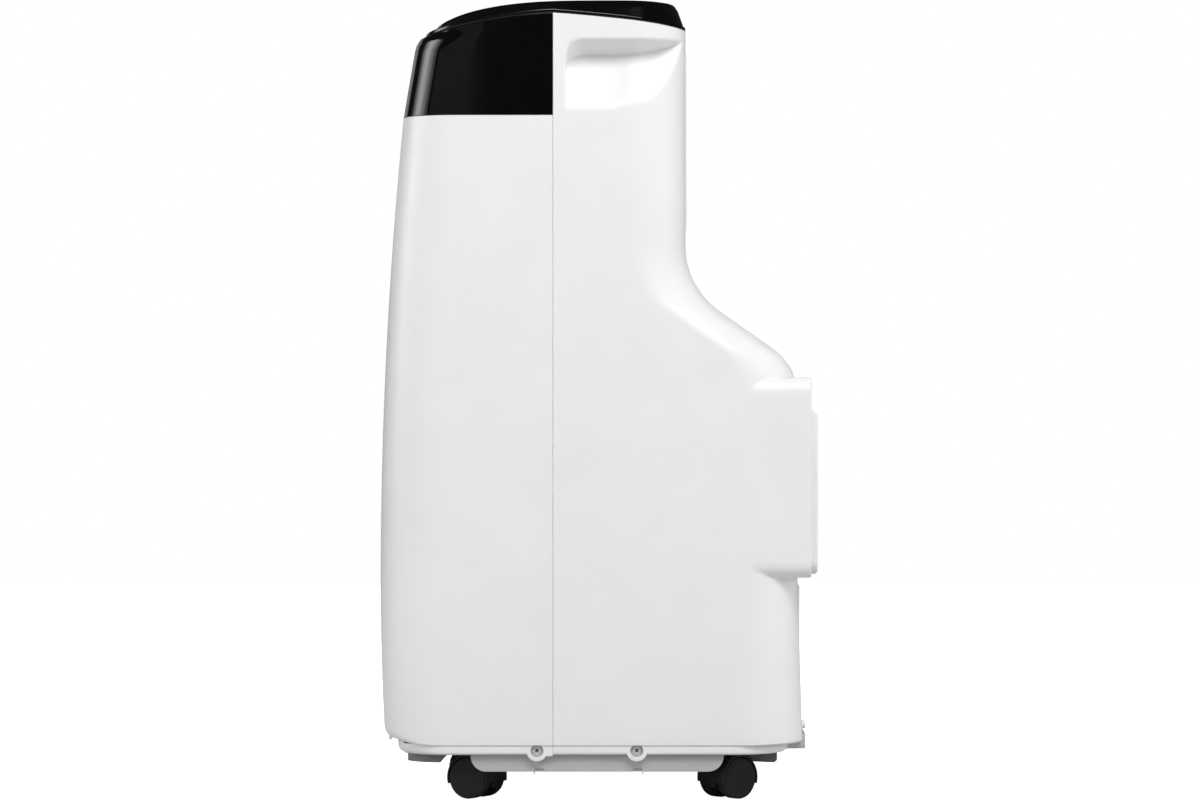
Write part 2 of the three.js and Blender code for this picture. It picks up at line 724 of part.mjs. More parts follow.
// The plate that takes the exhaust hose's adapter, which slides down between its side rails.
function exhaustCollar() {
  const front = HOUSING_REAR_Y + GAP;
  const chamfer = 7;
  const profile = shapeOf([
    [front, HOUSING_BOTTOM + 0.5],
    [REAR_REACH - 1.5, HOUSING_BOTTOM + 0.5],
    [REAR_REACH, HOUSING_BOTTOM + 4],
    [REAR_REACH, COLLAR_TOP - chamfer],
    [REAR_REACH - chamfer, COLLAR_TOP],
    [front, COLLAR_TOP],
  ]);
  const plate = prismX(profile, -COLLAR_HALF, COLLAR_HALF);
  const floorY = front + 4;
  const slot = box(-SLOT_HALF, SLOT_HALF, floorY, REAR_REACH - 2.4, SLOT_BOTTOM, FAR);
  const mouth = box(-MOUTH_HALF, MOUTH_HALF, floorY, FAR, MOUTH_BOTTOM, FAR);
  const bore = (radius) => rod("y", [0, 180, EXHAUST_Z], 60, radius, 40);
  const tube = rod("y", [0, 190, EXHAUST_Z], floorY - 190, EXHAUST_RADIUS + 1.7, 40);
  return join(cut(plate, slot, mouth, bore(EXHAUST_RADIUS)), cut(tube, bore(EXHAUST_RADIUS - 1)));
}

// A push-in drain plug in its own frame: the flange's back lies at y = 0.
function drainPlug(flange, plug, length) {
  return join(
    rod("y", [0, GAP, 0], 3, flange, 20),
    rod("y", [0, 3, 0], 4, flange * 0.55, 12),
    rod("y", [0, -length, 0], length + 1, plug, 16),
  );
}

function cordGland() {
  return cut(
    join(
      rod("y", [GLAND_X, APRON_Y + GAP, GLAND_Z], 2.5, 6.8, 20),
      rod("y", [GLAND_X, APRON_Y - 9, GLAND_Z], 9.5, 4.8, 16),
    ),
    rod("y", [GLAND_X, APRON_Y - 12, GLAND_Z], 20, 3.3, 16),
  );
}

// ---------------------------------------------------------------- base

function basePan() {
  const plan = (inset) =>
    shapeOf(
      planOutline({
        half: 213 - inset,
        front: -188 + inset,
        rear: 177.5 - inset,
        frontCorner: 40 - inset,
        rearCorner: 48 - inset,
        bulge: 6,
      }),
    );
  const round = TRAY_ROUNDING;
  const lapZ = TRAY_FLANGE_Z + 0.7;
  const side = new THREE.Shape();
  side.moveTo(TRAY_FRONT, lapZ);
  side.lineTo(TRAY_FRONT, TRAY_BOTTOM + round);
  side.absarc(TRAY_FRONT + round, TRAY_BOTTOM + round, round, Math.PI, Math.PI * 1.5);
  side.lineTo(TRAY_REAR - round, TRAY_BOTTOM);
  side.absarc(TRAY_REAR - round, TRAY_BOTTOM + round, round, -Math.PI / 2, 0);
  side.lineTo(TRAY_REAR, lapZ);
  const blocks = [FRONT_BLOCK, REAR_BLOCK].flatMap((outline) =>
    [BLOCK_INNER, -BLOCK_OUTER].map((x) =>
      prismX(shapeOf(outline), x, x + BLOCK_OUTER - BLOCK_INNER).intersect(
        prismZ(plan(1), TRAY_BOTTOM, TRAY_FLANGE_Z + 1),
      ),
    ),
  );
  let pan = join(
    prismZ(plan(0), TRAY_FLANGE_Z, 62),
    prismX(side, -TRAY_HALF, TRAY_HALF),
    ...blocks,
    box(-APRON_HALF, APRON_HALF, 150, APRON_Y, TRAY_FLANGE_Z + 1, APRON_TOP),
  );
  const well = (x, y, radius) => rod("z", [x, y, 0], 44.5, radius, 24);
  for (const { x, y } of CASTERS) pan = cut(pan, well(x, y, CASTER_POCKET));
  const hollow = (z0, shape) => prismZ(shape, z0, 70);
  let room = join(
    hollow(48, plan(WALL)),
    box(-212, 212, -110, 113, TRAY_BOTTOM + WALL, 60),
    box(-APRON_HALF + WALL, APRON_HALF - WALL, 150, APRON_Y - WALL, 48, 70),
  );
  for (const { x, y } of CASTERS) {
    const roof = rod("z", [x, y, 0], 47.5, CASTER_POCKET + WALL, 24);
    room = cut(room, roof, rod("z", [x, y, 40], 60, 9, 12));
  }
  pan = cut(pan, room);
  for (const { x, y } of CASTERS) pan = cut(pan, rod("z", [x, y, 30], 60, 4.4, 12));
  for (const y of SCREW_YS) pan = cut(pan, rod("x", [-FAR, y, SCREW_Z], 2 * FAR, 2.3, 12));
  return cut(
    pan,
    rod("y", [GLAND_X, APRON_Y - 10, GLAND_Z], 20, 5.1, 16),
    rod("y", [LOWER_DRAIN[0], APRON_Y - 20, LOWER_DRAIN[1]], 30, LOWER_DRAIN_RADIUS + 1, 16),
  );
}

// A screw with its head outwards, in its own frame along +x.
function screw() {
  const head = rod("x", [0, 0, 0], 1.5, SCREW_HEAD_RADIUS, 16);
  const shank = rod("x", [-12, 0, 0], 12.5, 1.9, 8);
  const cross = join(box(0.7, 3, -2.2, 2.2, -0.5, 0.5), box(0.7, 3, -0.5, 0.5, -2.2, 2.2));
  return cut(join(head, shank), cross);
}

// ---------------------------------------------------------------- casters

// In a caster's own frame the stem is on the z axis and the wheels trail along +x.
function casterStem() {
  return join(rod("z", [0, 0, 29], 43, 4, 12), rod("z", [0, 0, 42.7], 1, 8, 16));
}

function casterHood() {
  const acrossAxle = (radius, half, segments) =>
    rod("y", [TRAIL, -half, WHEEL_RADIUS], 2 * half, radius, segments);
  const fender = cut(acrossAxle(21.8, 18, 20), acrossAxle(20.6, 19, 20)).intersect(
    box(-FAR, FAR, -FAR, FAR, 15, FAR),
  );
  const web = acrossAxle(21.2, 4.5, 20).intersect(box(-FAR, FAR, -FAR, FAR, 13.5, FAR));
  const neck = join(
    box(-2, 14, -9.5, 9.5, 25, 42.3),
    rod("z", [0, 0, 25], 17.3, 9.5, 16),
  );
  const body = join(fender, web, neck, acrossAxle(2.3, 16.6, 10));
  return cut(body, rod("z", [0, 0, 28], 30, 4.4, 12));
}

// A wheel in its own frame, with its axle along z and its closed face outwards.
function casterWheel() {
  const inner = WHEEL_INNER;
  const outer = WHEEL_INNER + WHEEL_WIDTH;
  const profile = [
    [0, 17.2],
    [2.6, 17.2],
    [2.6, inner],
    [WHEEL_RADIUS, inner],
    [WHEEL_RADIUS, outer],
    [0, outer],
  ].map(([r, h]) => new THREE.Vector2(r, h));
  return solid(new THREE.LatheGeometry(profile, 24));
}

// ---------------------------------------------------------------- refrigeration and air movers

function finnedCoil(half, y0, y1, z0, z1, bends) {
  const core = box(-half, half, y0 + 2, y1 - 2, z0 + 4, z1 - 4);
  const plates = [-1, 1].map((side) =>
    box(side * half - 1, side * half + 1, y0, y1, z0, z1),
  );
  const pitch = (z1 - z0 - 24) / bends;
  const tubes = [];
  for (let i = 0; i < bends; i++) {
    const z = z0 + 12 + i * pitch;
    for (const side of [-1, 1]) {
      const curve = new THREE.CatmullRomCurve3(
        [0, 0.5, 1].map((t) => {
          const angle = Math.PI * t;
          const reach = (pitch / 2) * 0.6;
          return new THREE.Vector3(
            side * (half - 2 + reach * Math.sin(angle)),
            (y0 + y1) / 2,
            z + reach - reach * Math.cos(angle),
          );
        }),
      );
      const ring = new THREE.Shape().absarc(0, 0, 3, 0, Math.PI * 2);
      tubes.push(
        solid(
          new THREE.ExtrudeGeometry(ring, { steps: 4, curveSegments: 2, extrudePath: curve }),
        ),
      );
    }
  }
  return join(core, ...plates, ...tubes);
}

// A forward-curved centrifugal wheel in its own frame, with its axle along y from y = 0.
function blowerWheel(radius, width, blades) {
  const ringPlate = cut(
    rod("y", [0, width - 2, 0], 2, radius, 20),
    rod("y", [0, width - 3, 0], 5, radius - 16, 20),
  );
  const backPlate = rod("y", [0, 0, 0], 2, radius, 20);
  const hub = rod("y", [0, 0, 0], width * 0.45, 14, 16);
  let wheel = join(ringPlate, backPlate, hub);
  for (let i = 0; i < blades; i++) {
    const angle = (i / blades) * Math.PI * 2;
    const blade = new THREE.BoxGeometry(13, width - 1, 1.6);
    blade.rotateY(0.6);
    blade.translate(radius - 8, width / 2, 0);
    blade.rotateY(angle);
    wheel = join(wheel, solid(blade));
  }
  return cut(wheel, rod("y", [0, -5, 0], 60, 4.3, 12));
}

// A spiral blower casing about (cx, cz), opening upwards, with its inlet on the inletY side.
function blowerScroll(cx, cz, small, large, top, y0, y1, inletY) {
  const spiral = (inset) => {
    const points = [];
    const steps = 14;
    for (let i = 0; i <= steps; i++) {
      const reach = small + (large - small) * (i / steps) - inset;
      const angle = Math.PI + Math.PI * (i / steps);
      points.push([cx + reach * Math.cos(angle), cz + reach * Math.sin(angle)]);
    }
    points.push([cx + large - inset, top + (inset ? 2 : 0)]);
    points.push([cx - small + inset, top + (inset ? 2 : 0)]);
    return shapeOf(points);
  };
  const shell = cut(prismY(spiral(0), y0, y1), prismY(spiral(2.5), y0 + 2.5, y1 - 2.5));
  return cut(
    shell,
    rod("y", [cx, inletY - 5, cz], 10, small - 22, 20),
    rod("y", [cx, y0 - 5, cz], 10, 8, 12),
  );
}

// ---------------------------------------------------------------- assembly

const FINISH = {
  white: { color: 0xe9e9e9, roughness: 0.38, metalness: 0 },
  black: { color: 0x0b0b0c, roughness: 0.08, metalness: 0 },
  satinBlack: { color: 0x151516, roughness: 0.45, metalness: 0 },
  smoked: { color: 0x050506, roughness: 0.04, metalness: 0 },
  grey: { color: 0xb4b4b4, roughness: 0.55, metalness: 0 },
  nylon: { color: 0x1a1a1b, roughness: 0.5, metalness: 0 },
  steel: { color: 0xb9b9bb, roughness: 0.3, metalness: 1 },
  copper: { color: 0xb5652f, roughness: 0.35, metalness: 1 },
  fins: { color: 0xc6cacd, roughness: 0.45, metalness: 1 },
  paint: { color: 0x19191a, roughness: 0.5, metalness: 0.1 },
  foam: { color: 0x9aa0a3, roughness: 0.8, metalness: 0 },
};

const unit = new THREE.Group();

function add(name, body, finish, parent = unit) {
  const mesh = new THREE.Mesh(geometryOf(body), new THREE.MeshStandardMaterial(FINISH[finish]));
  mesh.name = name;
  parent.add(mesh);
  return mesh;
}

function addCabinet() {
  add("front_housing", frontHousing(), "white");
  add("front_panel", frontPanel(), "white");
  add("upper_cover", upperCover(), "black");
  add("outlet_bezel", outletBezel(), "black");
  add("top_cap", topCap(), "black");
  add("rear_housing", rearHousing(), "white");
  add("base_pan", basePan(), "grey");
  add("upper_filter", intakeFilter(UPPER_FILTER, NECK_Y + 1.5, 9), "white");
  add("lower_filter", intakeFilter(LOWER_FILTER, LOWER_REAR_Y + 3, 6), "white");
  add("exhaust_collar", exhaustCollar(), "white");
  add("cord_gland", cordGland(), "nylon");
  const upper = add("upper_drain_plug", drainPlug(10, 6, 14), "nylon");
  upper.position.set(-UPPER_DRAIN[0], HOUSING_REAR_Y, UPPER_DRAIN[1]);
  const lower = add("lower_drain_plug", drainPlug(LOWER_DRAIN_RADIUS, 4, 12), "white");
  lower.position.set(LOWER_DRAIN[0], rearY(LOWER_DRAIN[1]), LOWER_DRAIN[1]);
}

function addOutlet() {
  add("outlet_duct", outletDuct(), "satinBlack");
  add("louver_flap", louverFlap(), "black");
  add("louver_motor", louverMotor(), "satinBlack");
  for (let i = 0; i < VANE_COUNT; i++) {
    add(`vane_${i + 1}`, vane(), "satinBlack").position.set(vaneX(i), VANE_PIVOT_Y, 0);
  }
  add("vane_link", vaneLink(), "satinBlack").position.set(vaneX(0), VANE_PIVOT_Y + VANE_PEG_OFFSET, 0);
}

function addControls() {
  add("control_overlay", controlOverlay(), "smoked");
  for (const [name, x] of Object.entries(BUTTONS)) {
    const button = add(`button_${name}`, pushButton(), "satinBlack");
    button.position.set(x, CONTROL_Y, CONTROL_Z);
    button.rotation.x = CONTROL_TILT;
  }
}

function addCasters() {
  for (const { name, x, y, turn } of CASTERS) {
    const caster = new THREE.Group();
    caster.position.set(x, y, 0);
    caster.rotation.z = THREE.MathUtils.degToRad(turn);
    unit.add(caster);
    add(`${name}_stem`, casterStem(), "steel", caster);
    add(`${name}_hood`, casterHood(), "nylon", caster);
    for (const [side, label] of [[1, "a"], [-1, "b"]]) {
      const wheel = add(`${name}_wheel_${label}`, casterWheel(), "nylon", caster);
      wheel.position.set(TRAIL, 0, WHEEL_RADIUS);
      if (side < 0) wheel.rotation.x = Math.PI;
    }
  }
}

function addScrews() {
  SCREW_YS.forEach((y, i) => {
    for (const [side, label] of [[1, "right"], [-1, "left"]]) {
      const mesh = add(`skirt_screw_${label}_${i + 1}`, screw(), "steel");
      mesh.position.set(side * (HALF_WIDTH - SKIRT_INSET - 1.6), y, SCREW_Z);
      if (side < 0) mesh.rotation.z = Math.PI;
    }
  });
}

function addInside() {
  const [upperX, upperZ] = EVAPORATOR_AXIS;
  const [lowerX, lowerZ] = CONDENSER_AXIS;
  add("evaporator", finnedCoil(150, 44, 74, 436, 712, 5), "fins");
  add("condenser", finnedCoil(150, 150, 182, 84, 205, 3), "fins");
  add("evaporator_scroll", blowerScroll(upperX, upperZ, 100, 128, 655, -66, 34, 34), "foam");
  add("condenser_scroll", blowerScroll(lowerX, lowerZ, 92, 118, 378, 40, 122, 122), "foam");
  const upperWheel = add("evaporator_fan", blowerWheel(88, 74, 12), "satinBlack");
  upperWheel.position.set(upperX, -56, upperZ);
  const lowerWheel = add("condenser_fan", blowerWheel(80, 58, 12), "satinBlack");
  lowerWheel.position.set(lowerX, 50, lowerZ);
  const motor = (length, radius, shaft) =>
    join(rod("y", [0, -length - 1, 0], length, radius, 24), rod("y", [0, -2, 0], shaft, 4, 12));
  add("evaporator_motor", motor(48, 40, 50), "steel").position.set(upperX, -67, upperZ);
  add("condenser_motor", motor(44, 42, 50), "steel").position.set(lowerX, 39, lowerZ);
  const deck = cut(
    prismZ(roundedRect(-208, 208, -188, 78, 36), 408, 428),
    prismZ(roundedRect(-205, 205, -185, 75, 33), 411, 440),
    box(-230, -186, 30, 70, 400, 440),
  );
  add("drip_deck", deck, "foam");
  const shellProfile = [[0, 66], [62, 66], [66, 72], [66, 262], [52, 282], [20, 292], [0, 292]];
  const can = new THREE.LatheGeometry(shellProfile.map(([r, z]) => new THREE.Vector2(r, z)), 28);
  can.rotateX(Math.PI / 2);
  const accumulator = rod("z", [78, -34, 96], 140, 22, 16);
  const strap = box(40, 84, -40, -10, 150, 160);
  const hollow = rod("z", [0, 0, 60], 216, 45, 24);
  const compressor = cut(join(solid(can), accumulator, strap), hollow);
  add("compressor", compressor, "paint").position.set(-110, -80, 0);
  add("control_box", box(92, 196, -150, -84, 462, 632), "foam");
  addPipes();
}

function pipe(points, radius) {
  const curve = new THREE.CatmullRomCurve3(
    points.map(([x, y, z]) => new THREE.Vector3(x, y, z)), false, "catmullrom", 0.3,
  );
  const ring = new THREE.Shape().absarc(0, 0, radius, 0, Math.PI * 2);
  return solid(new THREE.ExtrudeGeometry(ring, { steps: 20, curveSegments: 3, extrudePath: curve }));
}

function addPipes() {
  const discharge = pipe(
    [
      [-110, -80, 293], [-110, -80, 320], [-130, -40, 334], [-186, 60, 330],
      [-190, 140, 300], [-190, 166, 230], [-172, 166, 190],
    ],
    4,
  );
  add("discharge_pipe", discharge, "copper");
  const suction = pipe(
    [
      [-32, -114, 237], [-32, -114, 300], [-60, -60, 372], [-180, 30, 384],
      [-200, 50, 410], [-198, 56, 450], [-172, 59, 470],
    ],
    5,
  );
  add("suction_pipe", suction, "copper");
}

addCabinet();
addOutlet();
addControls();
addCasters();
addScrews();
addInside();

export default unit;
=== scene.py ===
import json
import math

import bmesh
import bpy
import numpy as np
from mathutils import Matrix, Vector

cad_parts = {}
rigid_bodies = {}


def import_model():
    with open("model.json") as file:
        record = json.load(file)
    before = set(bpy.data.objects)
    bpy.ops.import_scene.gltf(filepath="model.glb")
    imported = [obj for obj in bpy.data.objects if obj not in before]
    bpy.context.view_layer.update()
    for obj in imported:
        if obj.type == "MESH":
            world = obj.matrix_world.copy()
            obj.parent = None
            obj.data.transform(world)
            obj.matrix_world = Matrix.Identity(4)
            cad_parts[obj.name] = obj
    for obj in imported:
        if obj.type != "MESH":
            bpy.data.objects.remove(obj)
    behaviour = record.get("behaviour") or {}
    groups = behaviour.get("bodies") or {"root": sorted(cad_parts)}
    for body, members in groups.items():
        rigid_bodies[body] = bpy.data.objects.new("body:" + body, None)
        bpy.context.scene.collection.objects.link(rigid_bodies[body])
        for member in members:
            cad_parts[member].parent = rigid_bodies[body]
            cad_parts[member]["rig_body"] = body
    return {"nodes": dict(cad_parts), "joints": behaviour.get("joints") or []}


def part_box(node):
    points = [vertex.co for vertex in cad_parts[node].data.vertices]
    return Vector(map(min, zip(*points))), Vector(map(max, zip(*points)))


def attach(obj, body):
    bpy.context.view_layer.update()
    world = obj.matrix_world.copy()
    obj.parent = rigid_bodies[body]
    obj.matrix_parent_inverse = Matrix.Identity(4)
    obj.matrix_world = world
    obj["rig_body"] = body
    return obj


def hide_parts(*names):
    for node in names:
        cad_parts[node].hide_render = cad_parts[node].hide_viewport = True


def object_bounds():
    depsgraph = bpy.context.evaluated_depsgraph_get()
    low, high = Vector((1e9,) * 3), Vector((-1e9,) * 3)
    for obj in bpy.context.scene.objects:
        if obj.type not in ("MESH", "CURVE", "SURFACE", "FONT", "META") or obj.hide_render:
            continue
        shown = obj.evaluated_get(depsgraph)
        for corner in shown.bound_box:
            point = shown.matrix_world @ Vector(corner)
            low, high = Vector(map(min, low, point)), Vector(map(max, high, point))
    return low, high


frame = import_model()
cad_low, cad_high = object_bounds()

# Everything below is worked out in millimetres in the row frame, and scaled on the way into a mesh.
MM = 0.001


def box_mm(node):
    low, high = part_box(node)
    return low / MM, high / MM


def centre_mm(node):
    return [(a + b) / 2 for a, b in zip(*box_mm(node))]


def joint(name):
    return next(j for j in frame["joints"] if j["name"] == name)


# ---- dimensions shared with the CAD

HALF_WIDTH = box_mm("rear_housing")[1].x
FRONT_REACH = box_mm("front_panel")[0].y
PARTING = (box_mm("front_housing")[1].y + box_mm("rear_housing")[0].y) / 2
NECK_Y = box_mm("upper_filter")[1].y - 1.5
LOWER_REAR_Y = box_mm("lower_filter")[1].y - 3
BLACK_EDGE_Z = (box_mm("front_panel")[1].z + box_mm("outlet_bezel")[0].z) / 2
HEIGHT = box_mm("top_cap")[1].z
FACADE_HALF = box_mm("front_panel")[1].x
HOUSING_REAR_Y = box_mm("rear_housing")[1].y
COLLAR = box_mm("exhaust_collar")
GAP = 0.13
# Lower edge of the walls, the band under it, and how far the edge is rounded at each face.
SHELL_BOTTOM, SKIRT_BOTTOM, SKIRT_INSET = 54, 45, 1.3
FRONT_ROUNDING, REAR_ROUNDING, SIDE_ROUNDING, FRONT_RISE = 10, 3, 0.5, 0.55
WALL_START = SHELL_BOTTOM + FRONT_ROUNDING + 6
# The front's bow in height and in plan, the head's lean and its brow.
BELLY_Z, FRONT_RADIUS_ABOVE, FRONT_RADIUS_BELOW, FRONT_BULGE = 205, 4550, 2650, 10
HEAD_LEAN, BROW_START, BROW_CURVE, BROW_DEPTH = 0.064, 719, 0.035, 6.2
FRONT_CORNER, REAR_CORNER = 50, 55
CAP_PLAN_Z = 740.0
# The back's slope between the neck and the lower back.
SHOULDER_ANGLE, SHOULDER_MEETS_NECK_Z = math.radians(35), 490.8
NECK_FILLET, SHOULDER_FILLET, LOWER_LEAN = 76, 55, 0.03
# The bar that houses the exhaust, the grips, the air outlet and the hose's socket.
HOUSING_BOTTOM, HOUSING_TOP, HOUSING_FILLET = 213, 404, 14
GRIP_FRONT_Y, GRIP_BOTTOM, GRIP_TOP, GRIP_DEEP_Z, GRIP_DEPTH = -29, 661, 725.5, 712, 27
GRIP_FOOT_RISE, GRIP_FOOT_Y, GRIP_FOOT_SPREAD = 5, 36, 13
OUTLET_HALF, OUTLET_BOTTOM, OUTLET_TOP = 150, 668, 716
EXHAUST_Z, EXHAUST_RADIUS = 291, 73
# Where the cap meets the walls, and the crown over it: a crest that falls away to the front.
SEAM_TOP, SEAM_FALL, SEAM_REACH = 750.7, 20.7, 122.4
CREST_Y, CREST_FALL, CREST_REACH, CREST_POWER, CREST_BACK = 20, 25, 177, 3.4, 50
# The hump over the exhaust bar: its top line's slope and a point on it, and its half width.
CHUTE_SLOPE, CHUTE_Y, CHUTE_Z, CHUTE_HALF, CHUTE_BOTTOM = 0.678, 186.6, 415.6, 110, 385
# Openings in the back, each as half width, bottom and top.
UPPER_WINDOW, LOWER_WINDOW, SOCKET_WINDOW = (165.3, 547.7, 716.3), (152.3, 83.7, 203.3), (118, 222, 362)
# Plans of the skirt and the tray: half width, front, rear, front and rear corner, points in front.
SKIRT_PLAN = (HALF_WIDTH - SKIRT_INSET, -193.6, 182.6, 45, 52, 8)
TRAY_PLAN = (213, -188, 177.5, 40, 48, 6)

# ---- cabinet surface


def front_y(z):
    """The front on the centre line: a shallow bow, a head that leans back, a rounded brow."""
    radius = np.where(z > BELLY_Z, FRONT_RADIUS_ABOVE, FRONT_RADIUS_BELOW)
    lean = HEAD_LEAN * np.maximum(z - BLACK_EDGE_Z, 0)
    brow = np.minimum(BROW_CURVE * np.maximum(z - BROW_START, 0) ** 2, BROW_DEPTH)
    return FRONT_REACH + (z - BELLY_Z) ** 2 / (2 * radius) + lean + brow


def rear_y(z):
    """The back on the centre line: straight neck, fillet, slope, fillet, lower back."""
    slope, sine = math.tan(SHOULDER_ANGLE), math.sin(SHOULDER_ANGLE)
    turn = math.tan((math.pi / 2 - SHOULDER_ANGLE) / 2)
    neck_tangent, back_tangent = NECK_FILLET * turn, SHOULDER_FILLET * turn
    neck_centre = SHOULDER_MEETS_NECK_Z + neck_tangent
    corner_z = SHOULDER_MEETS_NECK_Z - (LOWER_REAR_Y - NECK_Y) * slope
    back_centre = corner_z - back_tangent
    drop = np.clip(neck_centre - z, 0, NECK_FILLET)
    neck_arc = NECK_Y + NECK_FILLET - np.sqrt(NECK_FILLET**2 - drop**2)
    rise = np.clip(z - back_centre, 0, SHOULDER_FILLET)
    back_arc = LOWER_REAR_Y - SHOULDER_FILLET + np.sqrt(SHOULDER_FILLET**2 - rise**2)
    sloped = NECK_Y + (SHOULDER_MEETS_NECK_Z - z) / slope
    lower = LOWER_REAR_Y + np.maximum(0, HOUSING_BOTTOM - z) * LOWER_LEAN
    ends = (neck_centre, SHOULDER_MEETS_NECK_Z - neck_tangent * sine, corner_z + back_tangent * sine)
    zones = [z >= end for end in (*ends, back_centre)]
    return np.select(zones, [NECK_Y + 0 * z, neck_arc, sloped, back_arc], lower)


FLAT_HALF = HALF_WIDTH - FRONT_CORNER
BOW_ANGLE = math.atan(2 * FRONT_BULGE * FLAT_HALF / HALF_WIDTH**2)
BOW_X = FLAT_HALF + FRONT_CORNER * math.sin(BOW_ANGLE)


def bow(x):
    return FRONT_BULGE * (x / HALF_WIDTH) ** 2


def front_skin(u, z, inset=0.0):
    """Points and plan normals of the front half. |u| is 0-1 on the bowed face, 1-2 round the
    corner, 2-3 along the side to the parting line; the sign of u gives the side."""
    u, z = np.broadcast_arrays(np.asarray(u, float), np.asarray(z, float))
    side, v = np.where(u < 0, -1.0, 1.0), np.abs(u)
    base = front_y(z)
    centre_y = base + bow(BOW_X) + FRONT_CORNER * math.cos(BOW_ANGLE)
    face_x = BOW_X * np.clip(v, 0, 1)
    tilt = 2 * FRONT_BULGE * face_x / HALF_WIDTH**2
    scale = np.sqrt(1 + tilt**2)
    angle = BOW_ANGLE + (math.pi / 2 - BOW_ANGLE) * np.clip(v - 1, 0, 1)
    along = np.clip(v - 2, 0, 1)
    end = PARTING - GAP
    zones = [v <= 1, v <= 2]
    x = np.select(zones, [face_x, FLAT_HALF + FRONT_CORNER * np.sin(angle)], HALF_WIDTH)
    y = np.select(
        zones,
        [base + bow(face_x), centre_y - FRONT_CORNER * np.cos(angle)],
        centre_y + (end - centre_y) * along,
    )
    nx = np.select(zones, [tilt / scale, np.sin(angle)], 1.0)
    ny = np.select(zones, [-1 / scale, -np.cos(angle)], 0.0)
    return side * (x - nx * inset), y - ny * inset, side * nx, ny


def rear_skin(u, z, inset=0.0):
    """The same for the rear half: u is 0-1 along the side from the parting line, 1-2 round the
    corner, 2-3 along the back to the middle, and 3-6 the same mirrored on the other side."""
    u, z = np.broadcast_arrays(np.asarray(u, float), np.asarray(z, float))
    side, v = np.where(u > 3, -1.0, 1.0), np.where(u > 3, 6 - u, u)
    back = rear_y(z)
    start = PARTING + GAP
    angle = math.pi / 2 * np.clip(v - 1, 0, 1)
    zones = [v <= 1, v <= 2]
    cx, cy = HALF_WIDTH - REAR_CORNER, back - REAR_CORNER
    x = np.select(zones, [HALF_WIDTH + 0 * v, cx + REAR_CORNER * np.cos(angle)], cx * (3 - v))
    y = np.select(zones, [start + (cy - start) * v, cy + REAR_CORNER * np.sin(angle)], back)
    nx = np.select(zones, [1.0 + 0 * v, np.cos(angle)], 0.0)
    ny = np.select(zones, [0.0 * v, np.sin(angle)], 1.0)
    return side * (x - nx * inset), y - ny * inset, side * nx, ny


def seam_z(y):
    """The joint between the walls and the top cap."""
    ahead = np.maximum(PARTING - y, 0)
    behind = np.maximum(y - PARTING, 0)
    return SEAM_TOP - SEAM_FALL * (ahead / SEAM_REACH) ** 1.5 - 0.07 * behind - 0.0003 * behind**2


def crown_z(y):
    crest = HEIGHT - 1.5
    ahead, behind = np.maximum(CREST_Y - y, 0), np.maximum(y - CREST_Y, 0)
    return crest - CREST_FALL * (ahead / CREST_REACH) ** CREST_POWER - (behind / CREST_BACK) ** 2


def smooth_min(a, b, k):
    k = np.maximum(k, 1e-6)
    h = np.maximum(k - np.abs(a - b), 0) / k
    return np.minimum(a, b) - h * h * k / 4


def smooth_max(a, b, k):
    return -smooth_min(-a, -b, k)


def housing_distance(x, y, z):
    """Signed distance to the exhaust housing's bar, and its gradient's plan direction."""
    r = HOUSING_FILLET
    middle, half = (HOUSING_BOTTOM + HOUSING_TOP) / 2, (HOUSING_TOP - HOUSING_BOTTOM) / 2
    qx = np.abs(x) - (HALF_WIDTH + 0.3 - 0.5 * np.clip((118 - y) / 6, 0, 1) - r)
    qz = np.abs(z - middle) - (half - r)
    outside = np.hypot(np.maximum(qx, 0), np.maximum(qz, 0))
    across = outside + np.minimum(np.maximum(qx, qz), 0) - r
    sideways = np.where(outside > 0, np.maximum(qx, 0) / np.maximum(outside, 1e-9), qx > qz)
    back = y - HOUSING_REAR_Y
    return smooth_max(across, back, 1.2), np.where(back > across, 0.0, sideways), back > across


def chute_distance(x, y, z):
    """Signed distance to the low hump over the bar's middle, which runs out of the slope."""
    top = (z - CHUTE_Z + (y - CHUTE_Y) * CHUTE_SLOPE) / math.hypot(1, CHUTE_SLOPE)
    side = smooth_max(np.abs(x) - CHUTE_HALF, y - HOUSING_REAR_Y, 3.0)
    return smooth_max(smooth_max(top, side, 3.0), CHUTE_BOTTOM - z, 0.1)


def grip_distance(x, y, z, t):
    """Signed distance to a grip's recess: a sloped floor, a ceiling that follows the skin."""
    fall = (GRIP_TOP - GRIP_DEEP_Z) / GRIP_DEPTH
    foot = GRIP_BOTTOM + GRIP_FOOT_RISE * np.exp(-(((y - GRIP_FOOT_Y) / GRIP_FOOT_SPREAD) ** 2))
    run = GRIP_DEPTH / (GRIP_DEEP_Z - GRIP_BOTTOM)
    ceiling = (z - GRIP_TOP - fall * t) / math.hypot(1, fall)
    floor = (HALF_WIDTH - run * (z - foot) - np.abs(x)) / math.hypot(1, run)
    front = GRIP_FRONT_Y - y
    return smooth_max(smooth_max(ceiling, front, 20.0), floor, 2.5)


